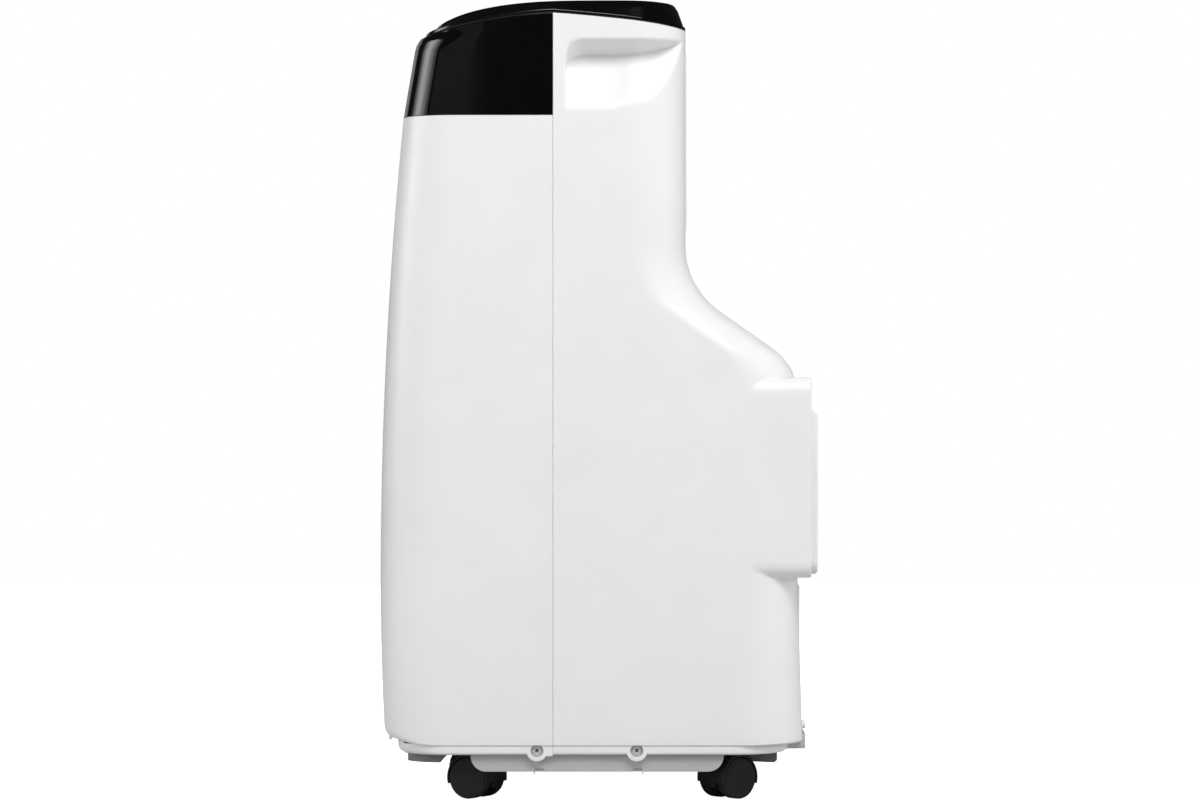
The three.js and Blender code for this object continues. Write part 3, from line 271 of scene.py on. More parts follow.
def rear_surface(u, z):
    """The rear half's outer surface with its housing and grips, found along the plan normals."""
    x0, y0, nx, ny = rear_skin(u, z)

    def field(t):
        x, y = x0 + nx * t, y0 + ny * t
        bar, sideways, facing_back = housing_distance(x, y, z)
        alike = np.where(facing_back, ny, np.abs(nx) * sideways)
        joined = smooth_min(t, bar, 1.5 * (1 - np.clip(alike, 0, 1)))
        joined = smooth_min(joined, chute_distance(x, y, z), 3.0)
        return smooth_max(joined, -grip_distance(x, y, z, t), 2.4)

    low, high = np.full_like(x0, -45.0), np.full_like(x0, 70.0)
    for _ in range(46):
        middle = (low + high) / 2
        inside = field(middle) < 0
        low, high = np.where(inside, middle, low), np.where(inside, high, middle)
    t = (low + high) / 2
    return x0 + nx * t, y0 + ny * t


# ---- mesh helpers


def graded(a, b, fine, coarse, growth=1.5):
    """Positions from a to b, close together at both ends."""
    fine_a, fine_b = fine if isinstance(fine, tuple) else (fine, fine)
    span, sign = abs(b - a), 1 if b > a else -1
    left, right, step_a, step_b = [0.0], [0.0], fine_a, fine_b
    while left[-1] + right[-1] + step_a + step_b < span:
        if left[-1] + step_a <= right[-1] + step_b:
            left.append(left[-1] + step_a)
            step_a = min(step_a * growth, coarse)
        else:
            right.append(right[-1] + step_b)
            step_b = min(step_b * growth, coarse)
    return [a + sign * o for o in left] + [b - sign * o for o in reversed(right)]


def chain(stops, coarse, growth=1.5):
    """Positions through (place, fineness) stops."""
    places = [stops[0][0]]
    for (a, fine_a), (b, fine_b) in zip(stops, stops[1:]):
        places += graded(a, b, (fine_a, fine_b), coarse, growth)[1:]
    return np.array(places)


def linked(name, data):
    obj = bpy.data.objects.new(name, data)
    bpy.context.scene.collection.objects.link(obj)
    return obj


def new_object(name, bm):
    """An object in metres from a mesh in millimetres."""
    mesh = bpy.data.meshes.new(name)
    bm.to_mesh(mesh)
    bm.free()
    mesh.transform(Matrix.Scale(MM, 4))
    return linked(name, mesh)


def smooth(obj, angle=30):
    obj.data.polygons.foreach_set("use_smooth", [True] * len(obj.data.polygons))
    obj.data.set_sharp_from_angle(angle=math.radians(angle))
    return obj


def grid(x, y, z, hole=None):
    """A sheet of faces on a grid of points, leaving out those whose centre is in a hole."""
    bm = bmesh.new()
    verts = [[bm.verts.new(point) for point in row] for row in np.stack([x, y, z], 2)]
    for low, high in zip(verts, verts[1:]):
        for j in range(len(low) - 1):
            corners = (low[j], low[j + 1], high[j + 1], high[j])
            if not (hole and hole(*(sum((v.co for v in corners), Vector()) / 4))):
                bm.faces.new(corners)
    loose = [v for v in bm.verts if not v.link_faces]
    bmesh.ops.delete(bm, geom=loose, context="VERTS")
    return bm


def thicken(bm, radius, depth, steps=3):
    """Rolls every open edge of a sheet inwards over a radius and closes it to a solid sheet."""
    bm.normal_update()
    pairs, outward = [], {}
    for edge in bm.edges:
        if not edge.is_boundary:
            continue
        loop = edge.link_loops[0]
        a, b = loop.vert, loop.link_loop_next.vert
        away = (b.co - a.co).normalized().cross(loop.face.normal)
        pairs.append((a, b))
        outward.setdefault(a, []).append(away)
        outward.setdefault(b, []).append(away)
    sheet = list(bm.faces)
    normal = {v: v.normal.copy() for v in bm.verts}
    base = {v: v.co.copy() for v in bm.verts}
    tangent = {}
    for v, parts in outward.items():
        mean = sum(parts, Vector()).normalized()
        tangent[v] = mean / max(0.6, mean.dot(parts[0]))
    for v in outward:
        v.co = base[v] - tangent[v] * radius
    ring = {v: v for v in outward}
    for k in range(1, steps + 2):
        angle = k * math.pi / 2 / steps
        fresh = {}
        for v in outward:
            if k <= steps:
                place = base[v] - tangent[v] * radius * (1 - math.sin(angle))
                place = place - normal[v] * radius * (1 - math.cos(angle))
            else:
                place = base[v] - normal[v] * depth
            fresh[v] = bm.verts.new(place)
        for a, b in pairs:
            bm.faces.new((ring[b], ring[a], fresh[a], fresh[b]))
        ring = fresh
    inner = {}
    for face in sheet:
        for v in face.verts:
            if v not in inner:
                inner[v] = ring[v] if v in ring else bm.verts.new(base[v] - normal[v] * depth)
    for face in sheet:
        bm.faces.new([inner[v] for v in reversed(face.verts)])
    return bm


def mirror_into(bm):
    """Adds the sheet's mirror image across the middle plane."""
    copy = bmesh.ops.duplicate(bm, geom=bm.verts[:] + bm.edges[:] + bm.faces[:])["geom"]
    for item in copy:
        if isinstance(item, bmesh.types.BMVert):
            item.co.x = -item.co.x
    bmesh.ops.reverse_faces(bm, faces=[f for f in copy if isinstance(f, bmesh.types.BMFace)])
    return bm


def stacked(rings, closed=False):
    """A solid through rings of points, with end faces or joined end to end."""
    bm = bmesh.new()
    stack = [[bm.verts.new(point) for point in ring] for ring in rings]
    if closed:
        stack.append(stack[0])
    else:
        bm.faces.new(stack[0])
        bm.faces.new(stack[-1])
    for low, high in zip(stack, stack[1:]):
        for i, corner in enumerate(low):
            bm.faces.new((low[i - 1], corner, high[i], high[i - 1]))
    bmesh.ops.recalc_face_normals(bm, faces=bm.faces[:])
    return bm


def prism(points, low, high, axis="z"):
    """A closed prism from an outline. The outline is (y, z), (x, z) or (x, y) for axis x, y, z."""
    order = {"x": (2, 0, 1), "y": (0, 2, 1), "z": (0, 1, 2)}[axis]
    ends = [[(a, b, level) for a, b in points] for level in (low, high)]
    return stacked([[[p[k] for k in order] for p in end] for end in ends])


def circle(ca, cb, radius, count=64):
    angles = [2 * math.pi * i / count for i in range(count)]
    return [(ca + radius * math.cos(a), cb + radius * math.sin(a)) for a in angles]


def rounded_rect(a0, a1, b0, b1, radius, count=8):
    points = []
    corners = [(a1 - radius, b0 + radius), (a1 - radius, b1 - radius)]
    corners += [(a0 + radius, b1 - radius), (a0 + radius, b0 + radius)]
    for quarter, (ca, cb) in enumerate(corners):
        for i in range(count + 1):
            angle = math.pi / 2 * (quarter - 1 + i / count)
            points.append((ca + radius * math.cos(angle), cb + radius * math.sin(angle)))
    return points


def span_x(side, a, b):
    """The ends in x of a span that lies on one side of the middle plane."""
    return sorted((side * a, side * b))


def cuboid(x0, x1, y0, y1, z0, z1):
    return prism([(x0, y0), (x1, y0), (x1, y1), (x0, y1)], z0, z1)


def lathe(profile, axis="z", centre=(0, 0, 0), count=64):
    """A solid of revolution from (radius, height) points that start and end on the axis,
    or that close on themselves when they don't."""
    bm = bmesh.new()
    open_ended = profile[0][0] == 0 and profile[-1][0] == 0
    rings = []
    for r, h in profile:
        if r == 0:
            rings.append([bm.verts.new((0, 0, h))] * count)
        else:
            rings.append([bm.verts.new((a, b, h)) for a, b in circle(0, 0, r, count)])
    joins = list(zip(rings, rings[1:]))
    if not open_ended:
        joins.append((rings[-1], rings[0]))
    for low, high in joins:
        for i in range(count):
            j = (i + 1) % count
            corners = [low[i], low[j], high[j], high[i]]
            unique = [v for k, v in enumerate(corners) if v not in corners[:k]]
            if len(unique) > 2:
                bm.faces.new(unique)
    turn = {"x": Matrix.Rotation(math.pi / 2, 4, "Y"), "y": Matrix.Rotation(-math.pi / 2, 4, "X")}
    if axis in turn:
        bm.transform(turn[axis])
    bm.transform(Matrix.Translation(centre))
    bmesh.ops.recalc_face_normals(bm, faces=bm.faces[:])
    return bm


def combine(name, parts):
    """One object from several closed bmesh solids that stay separate shells."""
    whole = bmesh.new()
    for part in parts:
        mesh = bpy.data.meshes.new("part")
        part.to_mesh(mesh)
        part.free()
        whole.from_mesh(mesh)
        bpy.data.meshes.remove(mesh)
    return new_object(name, whole)


def join_objects(main, others):
    """Adds other objects' meshes to the first one and removes them."""
    bm = bmesh.new()
    bm.from_mesh(main.data)
    for other in others:
        bm.from_mesh(other.data)
        bpy.data.objects.remove(other)
    bm.to_mesh(main.data)
    bm.free()
    return main


def apply_modifiers(obj):
    depsgraph = bpy.context.evaluated_depsgraph_get()
    mesh = bpy.data.meshes.new_from_object(obj.evaluated_get(depsgraph))
    obj.modifiers.clear()
    old = obj.data
    obj.data = mesh
    bpy.data.meshes.remove(old)
    return obj


def carve(obj, operation, *tools):
    """Joins or cuts an object with closed bmesh solids."""
    for tool in tools:
        other = new_object("tool", tool)
        modifier = obj.modifiers.new("carve", "BOOLEAN")
        modifier.operation = operation
        modifier.solver = "EXACT"
        modifier.object = other
        bpy.context.view_layer.update()
        apply_modifiers(obj)
        bpy.data.objects.remove(other)
    return obj


def cut(obj, *tools):
    return carve(obj, "DIFFERENCE", *tools)


def add(obj, *tools):
    return carve(obj, "UNION", *tools)


def bevelled(obj, width, segments=2, angle=40):
    modifier = obj.modifiers.new("bevel", "BEVEL")
    modifier.width = width * MM
    modifier.segments = segments
    modifier.limit_method = "ANGLE"
    modifier.angle_limit = math.radians(angle)
    modifier.use_clamp_overlap = True
    modifier.harden_normals = False
    bpy.context.view_layer.update()
    return apply_modifiers(obj)


def dress(obj, body, material, stands_for=(), angle=30):
    """Gives a finished piece its shading, material, body and the CAD nodes it stands for."""
    smooth(obj, angle)
    obj.data.materials.clear()
    obj.data.materials.append(material)
    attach(obj, body)
    if stands_for:
        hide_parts(*stands_for)
    return obj


# ---- materials


# The span that most of a noise texture's values lie in.
NOISE_LOW, NOISE_HIGH = 0.3, 0.7


class Shader:
    """A small builder for one node material around a Principled shader."""

    def __init__(self, name, color, roughness, **settings):
        self.material = bpy.data.materials.new(name)
        self.material.use_nodes = True
        self.tree = self.material.node_tree
        self.surface = self.tree.nodes["Principled BSDF"].inputs
        self.surface["Base Color"].default_value = (*color, 1)
        self.surface["Roughness"].default_value = roughness
        for key, value in settings.items():
            self.surface[key.replace("_", " ")].default_value = value
        self.color = color
        self.link = self.tree.links.new
        self.coords = self.tree.nodes.new("ShaderNodeTexCoord").outputs["Object"]

    def node(self, kind, values=(), **settings):
        """A new node with its inputs' values and its own settings."""
        made = self.tree.nodes.new(kind)
        for key, value in values:
            made.inputs[key].default_value = value
        for key, value in settings.items():
            setattr(made, key, value)
        return made

    def noise(self, scale, detail=3.0):
        texture = self.node("ShaderNodeTexNoise", [("Scale", scale), ("Detail", detail)])
        self.link(self.coords, texture.inputs["Vector"])
        return texture.outputs["Fac"]

    def wave(self, scale, axis):
        texture = self.node("ShaderNodeTexWave", [("Scale", scale)], bands_direction=axis)
        self.link(self.coords, texture.inputs["Vector"])
        return texture.outputs["Fac"]

    def mottle(self, fac, share):
        """Colour that wanders by a share to either side of the base."""
        ramp = self.node("ShaderNodeValToRGB")
        low, high = ramp.color_ramp.elements
        low.position, high.position = NOISE_LOW, NOISE_HIGH
        low.color = (*[c * (1 - share) for c in self.color], 1)
        high.color = (*[min(1, c * (1 + share)) for c in self.color], 1)
        self.link(fac, ramp.inputs["Fac"])
        self.link(ramp.outputs["Color"], self.surface["Base Color"])

    def roughen(self, fac, low, high):
        span = [("From Min", NOISE_LOW), ("From Max", NOISE_HIGH), ("To Min", low), ("To Max", high)]
        ranged = self.node("ShaderNodeMapRange", span)
        self.link(fac, ranged.inputs["Value"])
        self.link(ranged.outputs["Result"], self.surface["Roughness"])

    def bump(self, fac, depth_mm, strength=1.0):
        size = [("Distance", depth_mm * MM), ("Strength", strength)]
        bump = self.node("ShaderNodeBump", size)
        self.link(fac, bump.inputs["Height"])
        self.link(bump.outputs["Normal"], self.surface["Normal"])


def moulded(name, color, roughness, grain=2200, depth=0.01, drift=0.015, **settings):
    """Injection-moulded plastic: faint flow mottling, a fine grain and uneven gloss."""
    s = Shader(name, color, roughness, **settings)
    s.mottle(s.noise(14, 4), drift)
    s.roughen(s.noise(60, 5), roughness * 0.88, roughness * 1.14)
    s.bump(s.noise(grain, 2), depth)
    return s.material


def glossy_black(name, roughness):
    """Piano-black plastic: a deep base under a clear coat, with faint ripples from the mould."""
    s = Shader(name, (0.0016, 0.0016, 0.0017), roughness + 0.06, Coat_Weight=0.4,
               Coat_Roughness=0.03)
    s.mottle(s.noise(9, 3), 0.25)
    s.roughen(s.noise(35, 5), roughness, roughness + 0.05)
    s.bump(s.noise(26, 2), 0.02, 0.6)
    return s.material


def plated(name, color, roughness, metallic=1.0):
    s = Shader(name, color, roughness, Metallic=metallic)
    s.mottle(s.noise(240, 4), 0.08)
    s.roughen(s.noise(420, 4), roughness * 0.7, roughness * 1.5)
    s.bump(s.noise(700, 3), 0.02)
    return s.material


def finned(name):
    """A stack of thin fins, cut as fine bands across the width; the darker bands are painted shade in
    the gaps between fins.
    """
    s = Shader(name, (0.62, 0.64, 0.66), 0.38, Metallic=1.0)
    # Colour bands darken the gaps between fins: painted shade.
    s.mottle(s.wave(105, "X"), 0.55)
    s.roughen(s.noise(90, 3), 0.3, 0.5)
    s.bump(s.wave(105, "X"), 0.8)
    return s.material


def woven(name):
    """A fine plastic mesh: two crossed sets of threads, with the gaps between them painted darker as
    the shade seen through the holes.
    """
    s = Shader(name, (0.05, 0.052, 0.055), 0.6)
    across, down = s.wave(260, "X"), s.wave(260, "Z")
    threads = s.node("ShaderNodeMath", operation="MAXIMUM")
    s.link(across, threads.inputs[0])
    s.link(down, threads.inputs[1])
    # Darker gaps between threads: painted shade behind the mesh.
    s.mottle(threads.outputs[0], 0.75)
    s.bump(threads.outputs[0], 0.3)
    return s.material


WHITE = moulded("white_abs", (0.80, 0.80, 0.80), 0.36, grain=2600, depth=0.006)
WHITE_FINE = moulded("white_abs_ribbed", (0.79, 0.79, 0.79), 0.42, grain=2600, depth=0.008)
BLACK = glossy_black("black_gloss", 0.05)
BLACK_CAP = glossy_black("black_gloss_cap", 0.09)
SMOKED = glossy_black("smoked_window", 0.06)
DARK = moulded("dark_satin", (0.016, 0.016, 0.017), 0.42, grain=1500, depth=0.02, drift=0.1)
GREY = moulded("tray_grey", (0.47, 0.47, 0.47), 0.5, grain=1300, depth=0.02, drift=0.04)
NYLON = moulded("black_nylon", (0.011, 0.011, 0.0115), 0.5, grain=1100, depth=0.03, drift=0.2,
                Specular_IOR_Level=0.36)
TREAD = moulded("wheel_nylon", (0.012, 0.012, 0.0125), 0.55, grain=900, depth=0.05, drift=0.2,
                Specular_IOR_Level=0.36)
INSULATION = moulded("insulating_foam", (0.42, 0.43, 0.44), 0.75, grain=420, depth=0.25, drift=0.06)
STEEL = plated("zinc_steel", (0.58, 0.58, 0.59), 0.3)
NICKEL = plated("satin_nickel", (0.78, 0.78, 0.78), 0.42, 0.3)
# Painted shade: the grey of a screw's recess in the white skirt.
RECESS_SHADE_GREY = moulded("recess_painted_shade", (0.42, 0.42, 0.42), 0.5, grain=2600, depth=0.008)
# A darker grey than the tray's: painted shade for the blocks that sit in shadow under the walls.
BLOCK_SHADE_GREY = moulded("block_painted_shade", (0.16, 0.16, 0.16), 0.55, grain=1300, depth=0.02, drift=0.04)
COPPER = plated("copper", (0.72, 0.36, 0.22), 0.28)
ENAMEL = moulded("black_enamel", (0.012, 0.012, 0.013), 0.3, grain=500, depth=0.05, drift=0.15)
FINS = finned("fin_pack")
MESH = woven("filter_mesh")
MARK = moulded("printed_marks", (0.55, 0.57, 0.6), 0.5, grain=1500, depth=0.01)

# ---- cabinet walls

SEAM_GAP = 0.18
EDGE_ROLL, SHELL = 0.3, 2.6
SEAM_SINE = FACADE_HALF / FRONT_CORNER - FLAT_HALF / FRONT_CORNER
SEAM_SHARE = (math.asin(SEAM_SINE) - BOW_ANGLE) / (math.pi / 2 - BOW_ANGLE)
SEAM_STEP = math.degrees(SEAM_GAP / FRONT_CORNER) / 90
EDGE = 0.9


def bottom_rows(radius):
    """Heights and insets round the lower edge of the walls, for an edge radius a column. The
    edge rises where the radius grows, at the front."""
    base = SHELL_BOTTOM + FRONT_RISE * np.maximum(radius - REAR_ROUNDING, 0)
    rows = [(base, radius + 3)]
    for angle in np.linspace(math.pi / 2, 0, 8):
        rows.append((base + radius * (1 - math.sin(angle)), radius * (1 - math.cos(angle))))
    return np.array([r[0] for r in rows]), np.array([r[1] for r in rows])


def edge_radius(v, face):
    """The lower edge's radius: a face's own on the flat, tight along the sides."""
    share = np.clip((v - 1.2) / 0.85, 0, 1)
    share = share * share * (3 - 2 * share)
    return face + (SIDE_ROUNDING - face) * share


def front_columns(low, high):
    stops = [(low, 0.02), (2.0, 0.1), (high, 0.012)] if high > 2 else [(low, 0.006), (high, 0.006)]
    return chain(stops, 0.11 if high > 2 else 0.06)


def front_sheet(name, columns, z, both, inset=0.0, hole=None):
    """A wall on the front half's skin, on one side or on both."""
    x, y, _, _ = front_skin(columns, z, inset)
    bm = thicken(grid(x, y, z, hole), EDGE_ROLL, SHELL)
    if both:
        mirror_into(bm)
    return new_object(name, bm)


def lower_front(columns, name, both):
    low_z, low_inset = bottom_rows(edge_radius(np.abs(columns), FRONT_ROUNDING))
    walls = chain([(WALL_START, 3), (BLACK_EDGE_Z - SEAM_GAP, EDGE)], 16)[:, None] + 0 * columns
    inset = np.vstack([low_inset, 0 * walls])
    return front_sheet(name, columns, np.vstack([low_z, walls]), both, inset)


def upper_rows(columns):
    """Rows from the black edge up to the cap's joint, which follows the depth."""
    shares = chain([(0, 0.012), (0.8, 0.1), (1, 0.012)], 0.12)
    z = np.full((len(shares), len(columns)), 700.0)
    base = BLACK_EDGE_Z + SEAM_GAP
    for _ in range(6):
        y = front_skin(columns, z)[1]
        z = base + (seam_z(y) - SEAM_GAP - base) * shares[:, None]
    return z


def ledge():
    """The narrow shelf from the top of the brow back under the cap's edge."""
    columns = chain([(-2.6, 0.05), (0, 0.1), (2.6, 0.05)], 0.12)
    front = front_skin(columns, 728)[1]
    for _ in range(4):
        top = seam_z(front) - SEAM_GAP - EDGE_ROLL
        x0, front, _, _ = front_skin(columns, top, EDGE_ROLL)
    x1, back, _, _ = front_skin(columns, CAP_PLAN_Z, 3.0)
    low = seam_z(back) - SEAM_GAP
    shares = np.linspace(0, 1, 5)[:, None]
    x, y = x0 + (x1 - x0) * shares, front + (back - front) * shares
    z = top + (low - top) * shares
    return new_object("ledge", thicken(grid(x, y, z), 0.2, 1.0, 1))


def backing(columns, low, high):
    """A strip behind a joint line, so that no light passes through it."""
    levels = np.linspace(low, high, 24)[:, None] + 0 * columns
    x, y, _, _ = front_skin(columns, levels, SHELL + 0.15)
    bm = thicken(grid(x, y, levels), 0.2, 1.6, 1)
    return new_object("backing", mirror_into(bm))


def skirt(name, low, high):
    """The recessed band under the walls, with its round screw tabs."""
    band = new_object(name, rolled_band())
    tabs = []
    for screw in ("skirt_screw_right_1", "skirt_screw_right_2"):
        _, y, z = centre_mm(screw)
        if not low < y < high:
            continue
        for side in (-1, 1):
            face = side * (HALF_WIDTH - SKIRT_INSET)
            span = sorted((face, face - side * 6))
            add(band, prism(circle(y, z, 10, 48), *span, "x"))
            outside = sorted((face + side, face - side * 4.8))
            cut(band, prism(circle(y, z, 6.2, 40), *outside, "x"))
            tabs.append(y)
    if high > 100:
        cut(band, cuboid(-151, 151, 150, 300, 0, 60.5))
        for side in (-1, 1):
            ends = span_x(side, 150.4, 155)
            add(band, cuboid(*ends, 178, 186, 45, 57))
    if low < -100:
        first = min(tabs)
        for side in (-1, 1):
            reach = span_x(side, 150, 230)
            cut(band, cuboid(*reach, -183, -164, 54.6, 56.2))
            face = HALF_WIDTH - SKIRT_INSET
            span = span_x(side, face, face - 3)
            lip = rounded_rect(first + 8, PARTING - GAP, 43.8, 47.0, 0.4, 2)
            add(band, prism(lip, *span, "x"))
    cut(band, cuboid(-400, 400, high, 400, 0, 100))
    cut(band, cuboid(-400, 400, -400, low, 0, 100))
    return bevelled(band, 0.5, 2, 50)


def rolled_band():
    """The band as one closed loop of rings, with its lower edge rolled under."""
    outer, inner = (np.array(plan_outline(inset, *SKIRT_PLAN)) for inset in (0.0, 10.0))
    roll = 2.5 + 4.5 * np.clip((-150 - outer[:, 1]) / 35, 0, 1)
    low, high = SKIRT_BOTTOM, SHELL_BOTTOM + 2.5
    rows = [(0 * roll, high + 0 * roll)]
    for angle in np.linspace(0, math.pi / 2, 6):
        rows.append((roll * (1 - math.cos(angle)), low + roll * (1 - math.sin(angle))))
    rows += [(roll + 1.5, low + 0 * roll), (3.0 + 0 * roll, low + roll + 1.5)]
    rows.append((3.0 + 0 * roll, high + 0 * roll))
    rings = [np.column_stack([outer + (inner - outer) * i[:, None] / 10, z]) for i, z in rows]
    return stacked(rings, closed=True)


def plan_outline(inset, half, front, rear, front_corner, rear_corner, face_points):
    """A plan with rounded corners and a bowed front, shrunk by an inset."""
    half, front, rear = half - inset, front + inset, rear - inset
    fc, rc = front_corner - inset, rear_corner - inset
    flat = half - fc
    points = [(x, front + 6 * (x / half) ** 2) for x in np.linspace(0, flat, face_points)]
    start = front + 6 * (flat / half) ** 2
    turns = [math.pi / 2 * i / 12 for i in range(13)]
    points += [(flat + fc * math.sin(a), start + fc * (1 - math.cos(a))) for a in turns[1:]]
    points += [(half - rc * (1 - math.cos(a)), rear - rc * (1 - math.sin(a))) for a in turns]
    points.append((0, rear))
    return points + [(-x, y) for x, y in reversed(points[1:-1])]


def build_front():
    side = front_columns(1 + SEAM_SHARE + SEAM_STEP / 2, 3.0)
    face_half = 1 + SEAM_SHARE - SEAM_STEP / 2
    face = chain([(-face_half, 0.008), (0, 0.06), (face_half, 0.008)], 0.09)
    housing = lower_front(side, "front_housing_skin", True)
    strip = np.linspace(1 + SEAM_SHARE - 0.05, 1 + SEAM_SHARE + 0.05, 4)
    lap = np.linspace(2.97, 3.0, 3)
    parts = [backing(place, SHELL_BOTTOM + 3, BLACK_EDGE_Z + 2) for place in (strip, lap)]
    parts.append(skirt("skirt_front", -400, PARTING - GAP))
    join_objects(housing, parts)
    dress(housing, "cabinet", WHITE, ["front_housing"])
    panel = lower_front(face, "front_panel_skin", False)
    dress(panel, "cabinet", WHITE, ["front_panel"])
    cover = front_sheet("upper_cover_skin", side, upper_rows(side), True)
    dark = [backing(place, BLACK_EDGE_Z - 2, top) for place, top in ((strip, 724), (lap, 744))]
    join_objects(cover, dark + [ledge()])
    dress(cover, "cabinet", BLACK, ["upper_cover"])
    edge = OUTLET_HALF / BOW_X
    stops = [(-face_half, 0.008), (-edge, 0.006), (0, 0.06), (edge, 0.006), (face_half, 0.008)]
    columns = chain(stops, 0.09)
    base = BLACK_EDGE_Z + SEAM_GAP
    fixed = chain([(base, EDGE), (OUTLET_BOTTOM, EDGE), (OUTLET_TOP, EDGE)], 8)
    over = np.linspace(0, 1, 9)[1:, None]
    top = upper_rows(columns)[-1]
    z = np.vstack([fixed[:, None] + 0 * columns, OUTLET_TOP + (top - OUTLET_TOP) * over])

    def hole(x, _, height):
        return abs(x) < OUTLET_HALF and OUTLET_BOTTOM < height < OUTLET_TOP

    bezel = front_sheet("outlet_bezel_skin", columns, z, False, hole=hole)
    dress(bezel, "cabinet", BLACK, ["outlet_bezel"])
    build_louver()


def build_louver():
    half, reach = OUTLET_HALF - 0.8, box_mm("louver_flap")[1].x
    columns = chain([(-half / BOW_X, 0.006), (half / BOW_X, 0.006)], 0.06)
    levels = chain([(OUTLET_BOTTOM + 2, 0.7), (OUTLET_TOP - 2, 0.7)], 6)
    z = levels[:, None] + 0 * columns
    x, y, _, _ = front_skin(columns, z)
    flap = new_object("louver_flap_skin", thicken(grid(x, y, z), 0.7, 2.4))
    pivot = joint("louver_hinge")["pos_m"]
    py, pz = pivot[1] / MM, pivot[2] / MM
    arms = []
    for side in (-1, 1):
        inner, outer = span_x(side, half - 5, half - 2)
        arm = rounded_rect(py - 7, py + 3, pz - 3, pz + 3, 2.9, 6)
        arms.append(bevelled(new_object("arm", prism(arm, inner, outer, "x")), 0.3))
        ends = span_x(side, half - 2.5, reach - 0.1)
        arms.append(new_object("pin", prism(circle(py, pz, 1.6, 24), *ends, "x")))
    join_objects(flap, arms)
    dress(flap, "louver", BLACK, ["louver_flap"])


# ---- top cap and controls


def cap_ring(inset):
    """Plan points all round at the cap's joint height, from the front middle anticlockwise."""
    front = chain([(0, 0.1), (1, 0.03), (2, 0.03), (2.995, 0.1)], 0.09)
    rear = chain([(0.005, 0.1), (1, 0.03), (2, 0.03), (3, 0.1)], 0.09)
    xf, yf, _, _ = front_skin(front, CAP_PLAN_Z, inset)
    xr, yr, _, _ = rear_skin(rear, CAP_PLAN_Z, inset)
    x, y = np.concatenate([xf, xr]), np.concatenate([yf, yr])
    return np.concatenate([x, -x[-2:0:-1]]), np.concatenate([y, y[-2:0:-1]])


def build_cap():
    rings = []
    # From the foot inside the walls, round the lower lip and up to the raised edge line.
    lip, out = 0.45, 0.15
    gap = SEAM_GAP
    edge_line = [(1.2, 3.2), (gap, 2.6), (gap, out + lip), (gap + lip * 0.3, out + lip * 0.3)]
    edge_line += [(gap + lip, out), (2.6, out), (3.2, 0.3), (3.5, 0.8), (3.6, 1.5), (3.75, 1.75)]
    edge_line.append((4.2, 2.0))
    for rise, inset in edge_line:
        x, y = cap_ring(inset)
        rings.append(np.column_stack([x, y, seam_z(y) + rise]))
    # The side's slope, then the rounded shoulder.
    for share in (0.15, 0.4, 0.65, 0.85):
        x, y = cap_ring(2.0 + 6.4 * share)
        low = seam_z(y) + 4.2
        rings.append(np.column_stack([x, y, low + (crown_z(y) - 3.0 - low) * share]))
    for angle in np.radians(np.linspace(30, 90, 7)):
        x, y = cap_ring(13.9 - 5.5 * math.cos(angle))
        rings.append(np.column_stack([x, y, crown_z(y) - 6.4 * (1 - math.sin(angle))]))
    edge = rings[-1]

    def shrunk(share, drop=0.0):
        x, y = edge[:, 0] * share, CAP_CENTRE_Y + (edge[:, 1] - CAP_CENTRE_Y) * share
        return np.column_stack([x, y, dome(x, y, share) - drop])

    for share in (0.985, 0.96, 0.92, 0.86, 0.78, 0.68, 0.56, 0.43, 0.3, 0.16, 0.05):
        rings.append(shrunk(share))
    x, y = cap_ring(3.2)
    inner = [np.column_stack([x, y, seam_z(y) + 3.0])]
    x, y = cap_ring(15)
    inner.append(np.column_stack([x, y, crown_z(y) - 5.5]))
    inner += [shrunk(share, 3.5) for share in (0.8, 0.5, 0.2)]
    cap = new_object("top_cap_skin", stacked(inner[::-1] + rings))
    cut(cap, draped(sliced(prism(control_plate(GAP), -2.0, 12))))
    for x in key_places().values():
        cut(cap, tilted(prism(circle(x, 0, 8.5, 40), -14, 12)))
    dress(cap, "cabinet", BLACK_CAP, ["top_cap"], 35)
    build_controls()


CONTROL_Y, CONTROL_HALF_WIDTH, CONTROL_HALF_DEPTH = -112, 108, 26
CAP_CENTRE_Y, CAP_FRONT_Y = -45, -155


def dome(x, y, share):
    """The top's height, at a share of the way from the middle to the edge."""
    return crown_z(y) + 1.5 * (1 - (x / HALF_WIDTH) ** 2) * (1 - share**6)


def sliced(bm):
    """Cuts a flat piece into small facets, so that it can be bent."""
    cuts = [((0, 1, 0), y) for y in np.arange(-CONTROL_HALF_DEPTH, CONTROL_HALF_DEPTH, 3.25)]
    cuts += [((1, 0, 0), x) for x in np.arange(-99, 100, 18)]
    for normal, place in cuts:
        everything = bm.verts[:] + bm.edges[:] + bm.faces[:]
        point = Vector(normal) * float(place)
        bmesh.ops.bisect_plane(bm, geom=everything, plane_co=point, plane_no=normal)
    return bm


def draped(bm):
    """Lays a flat piece made about the control strip's middle over the top's curve."""
    slant = control_frame().to_3x3() @ Vector((0, 1, 0))
    for v in bm.verts:
        y = CONTROL_Y + v.co.y * slant.y
        share = min(1, abs((y - CAP_CENTRE_Y) / (CAP_FRONT_Y - CAP_CENTRE_Y)))
        v.co = (v.co.x, y, float(dome(v.co.x, np.array(y), share)) + v.co.z + 0.12)
    return bm


def control_frame():
    """The turn and place of the sloped control strip."""
    y = np.array([CONTROL_Y - 5.0, CONTROL_Y, CONTROL_Y + 5.0])
    low, middle, high = crown_z(y)
    tilt = Matrix.Rotation(math.atan((high - low) / 10), 4, "X")
    return Matrix.Translation((0, CONTROL_Y, middle + 1.2)) @ tilt


def tilted(bm):
    bm.transform(control_frame())
    return bm


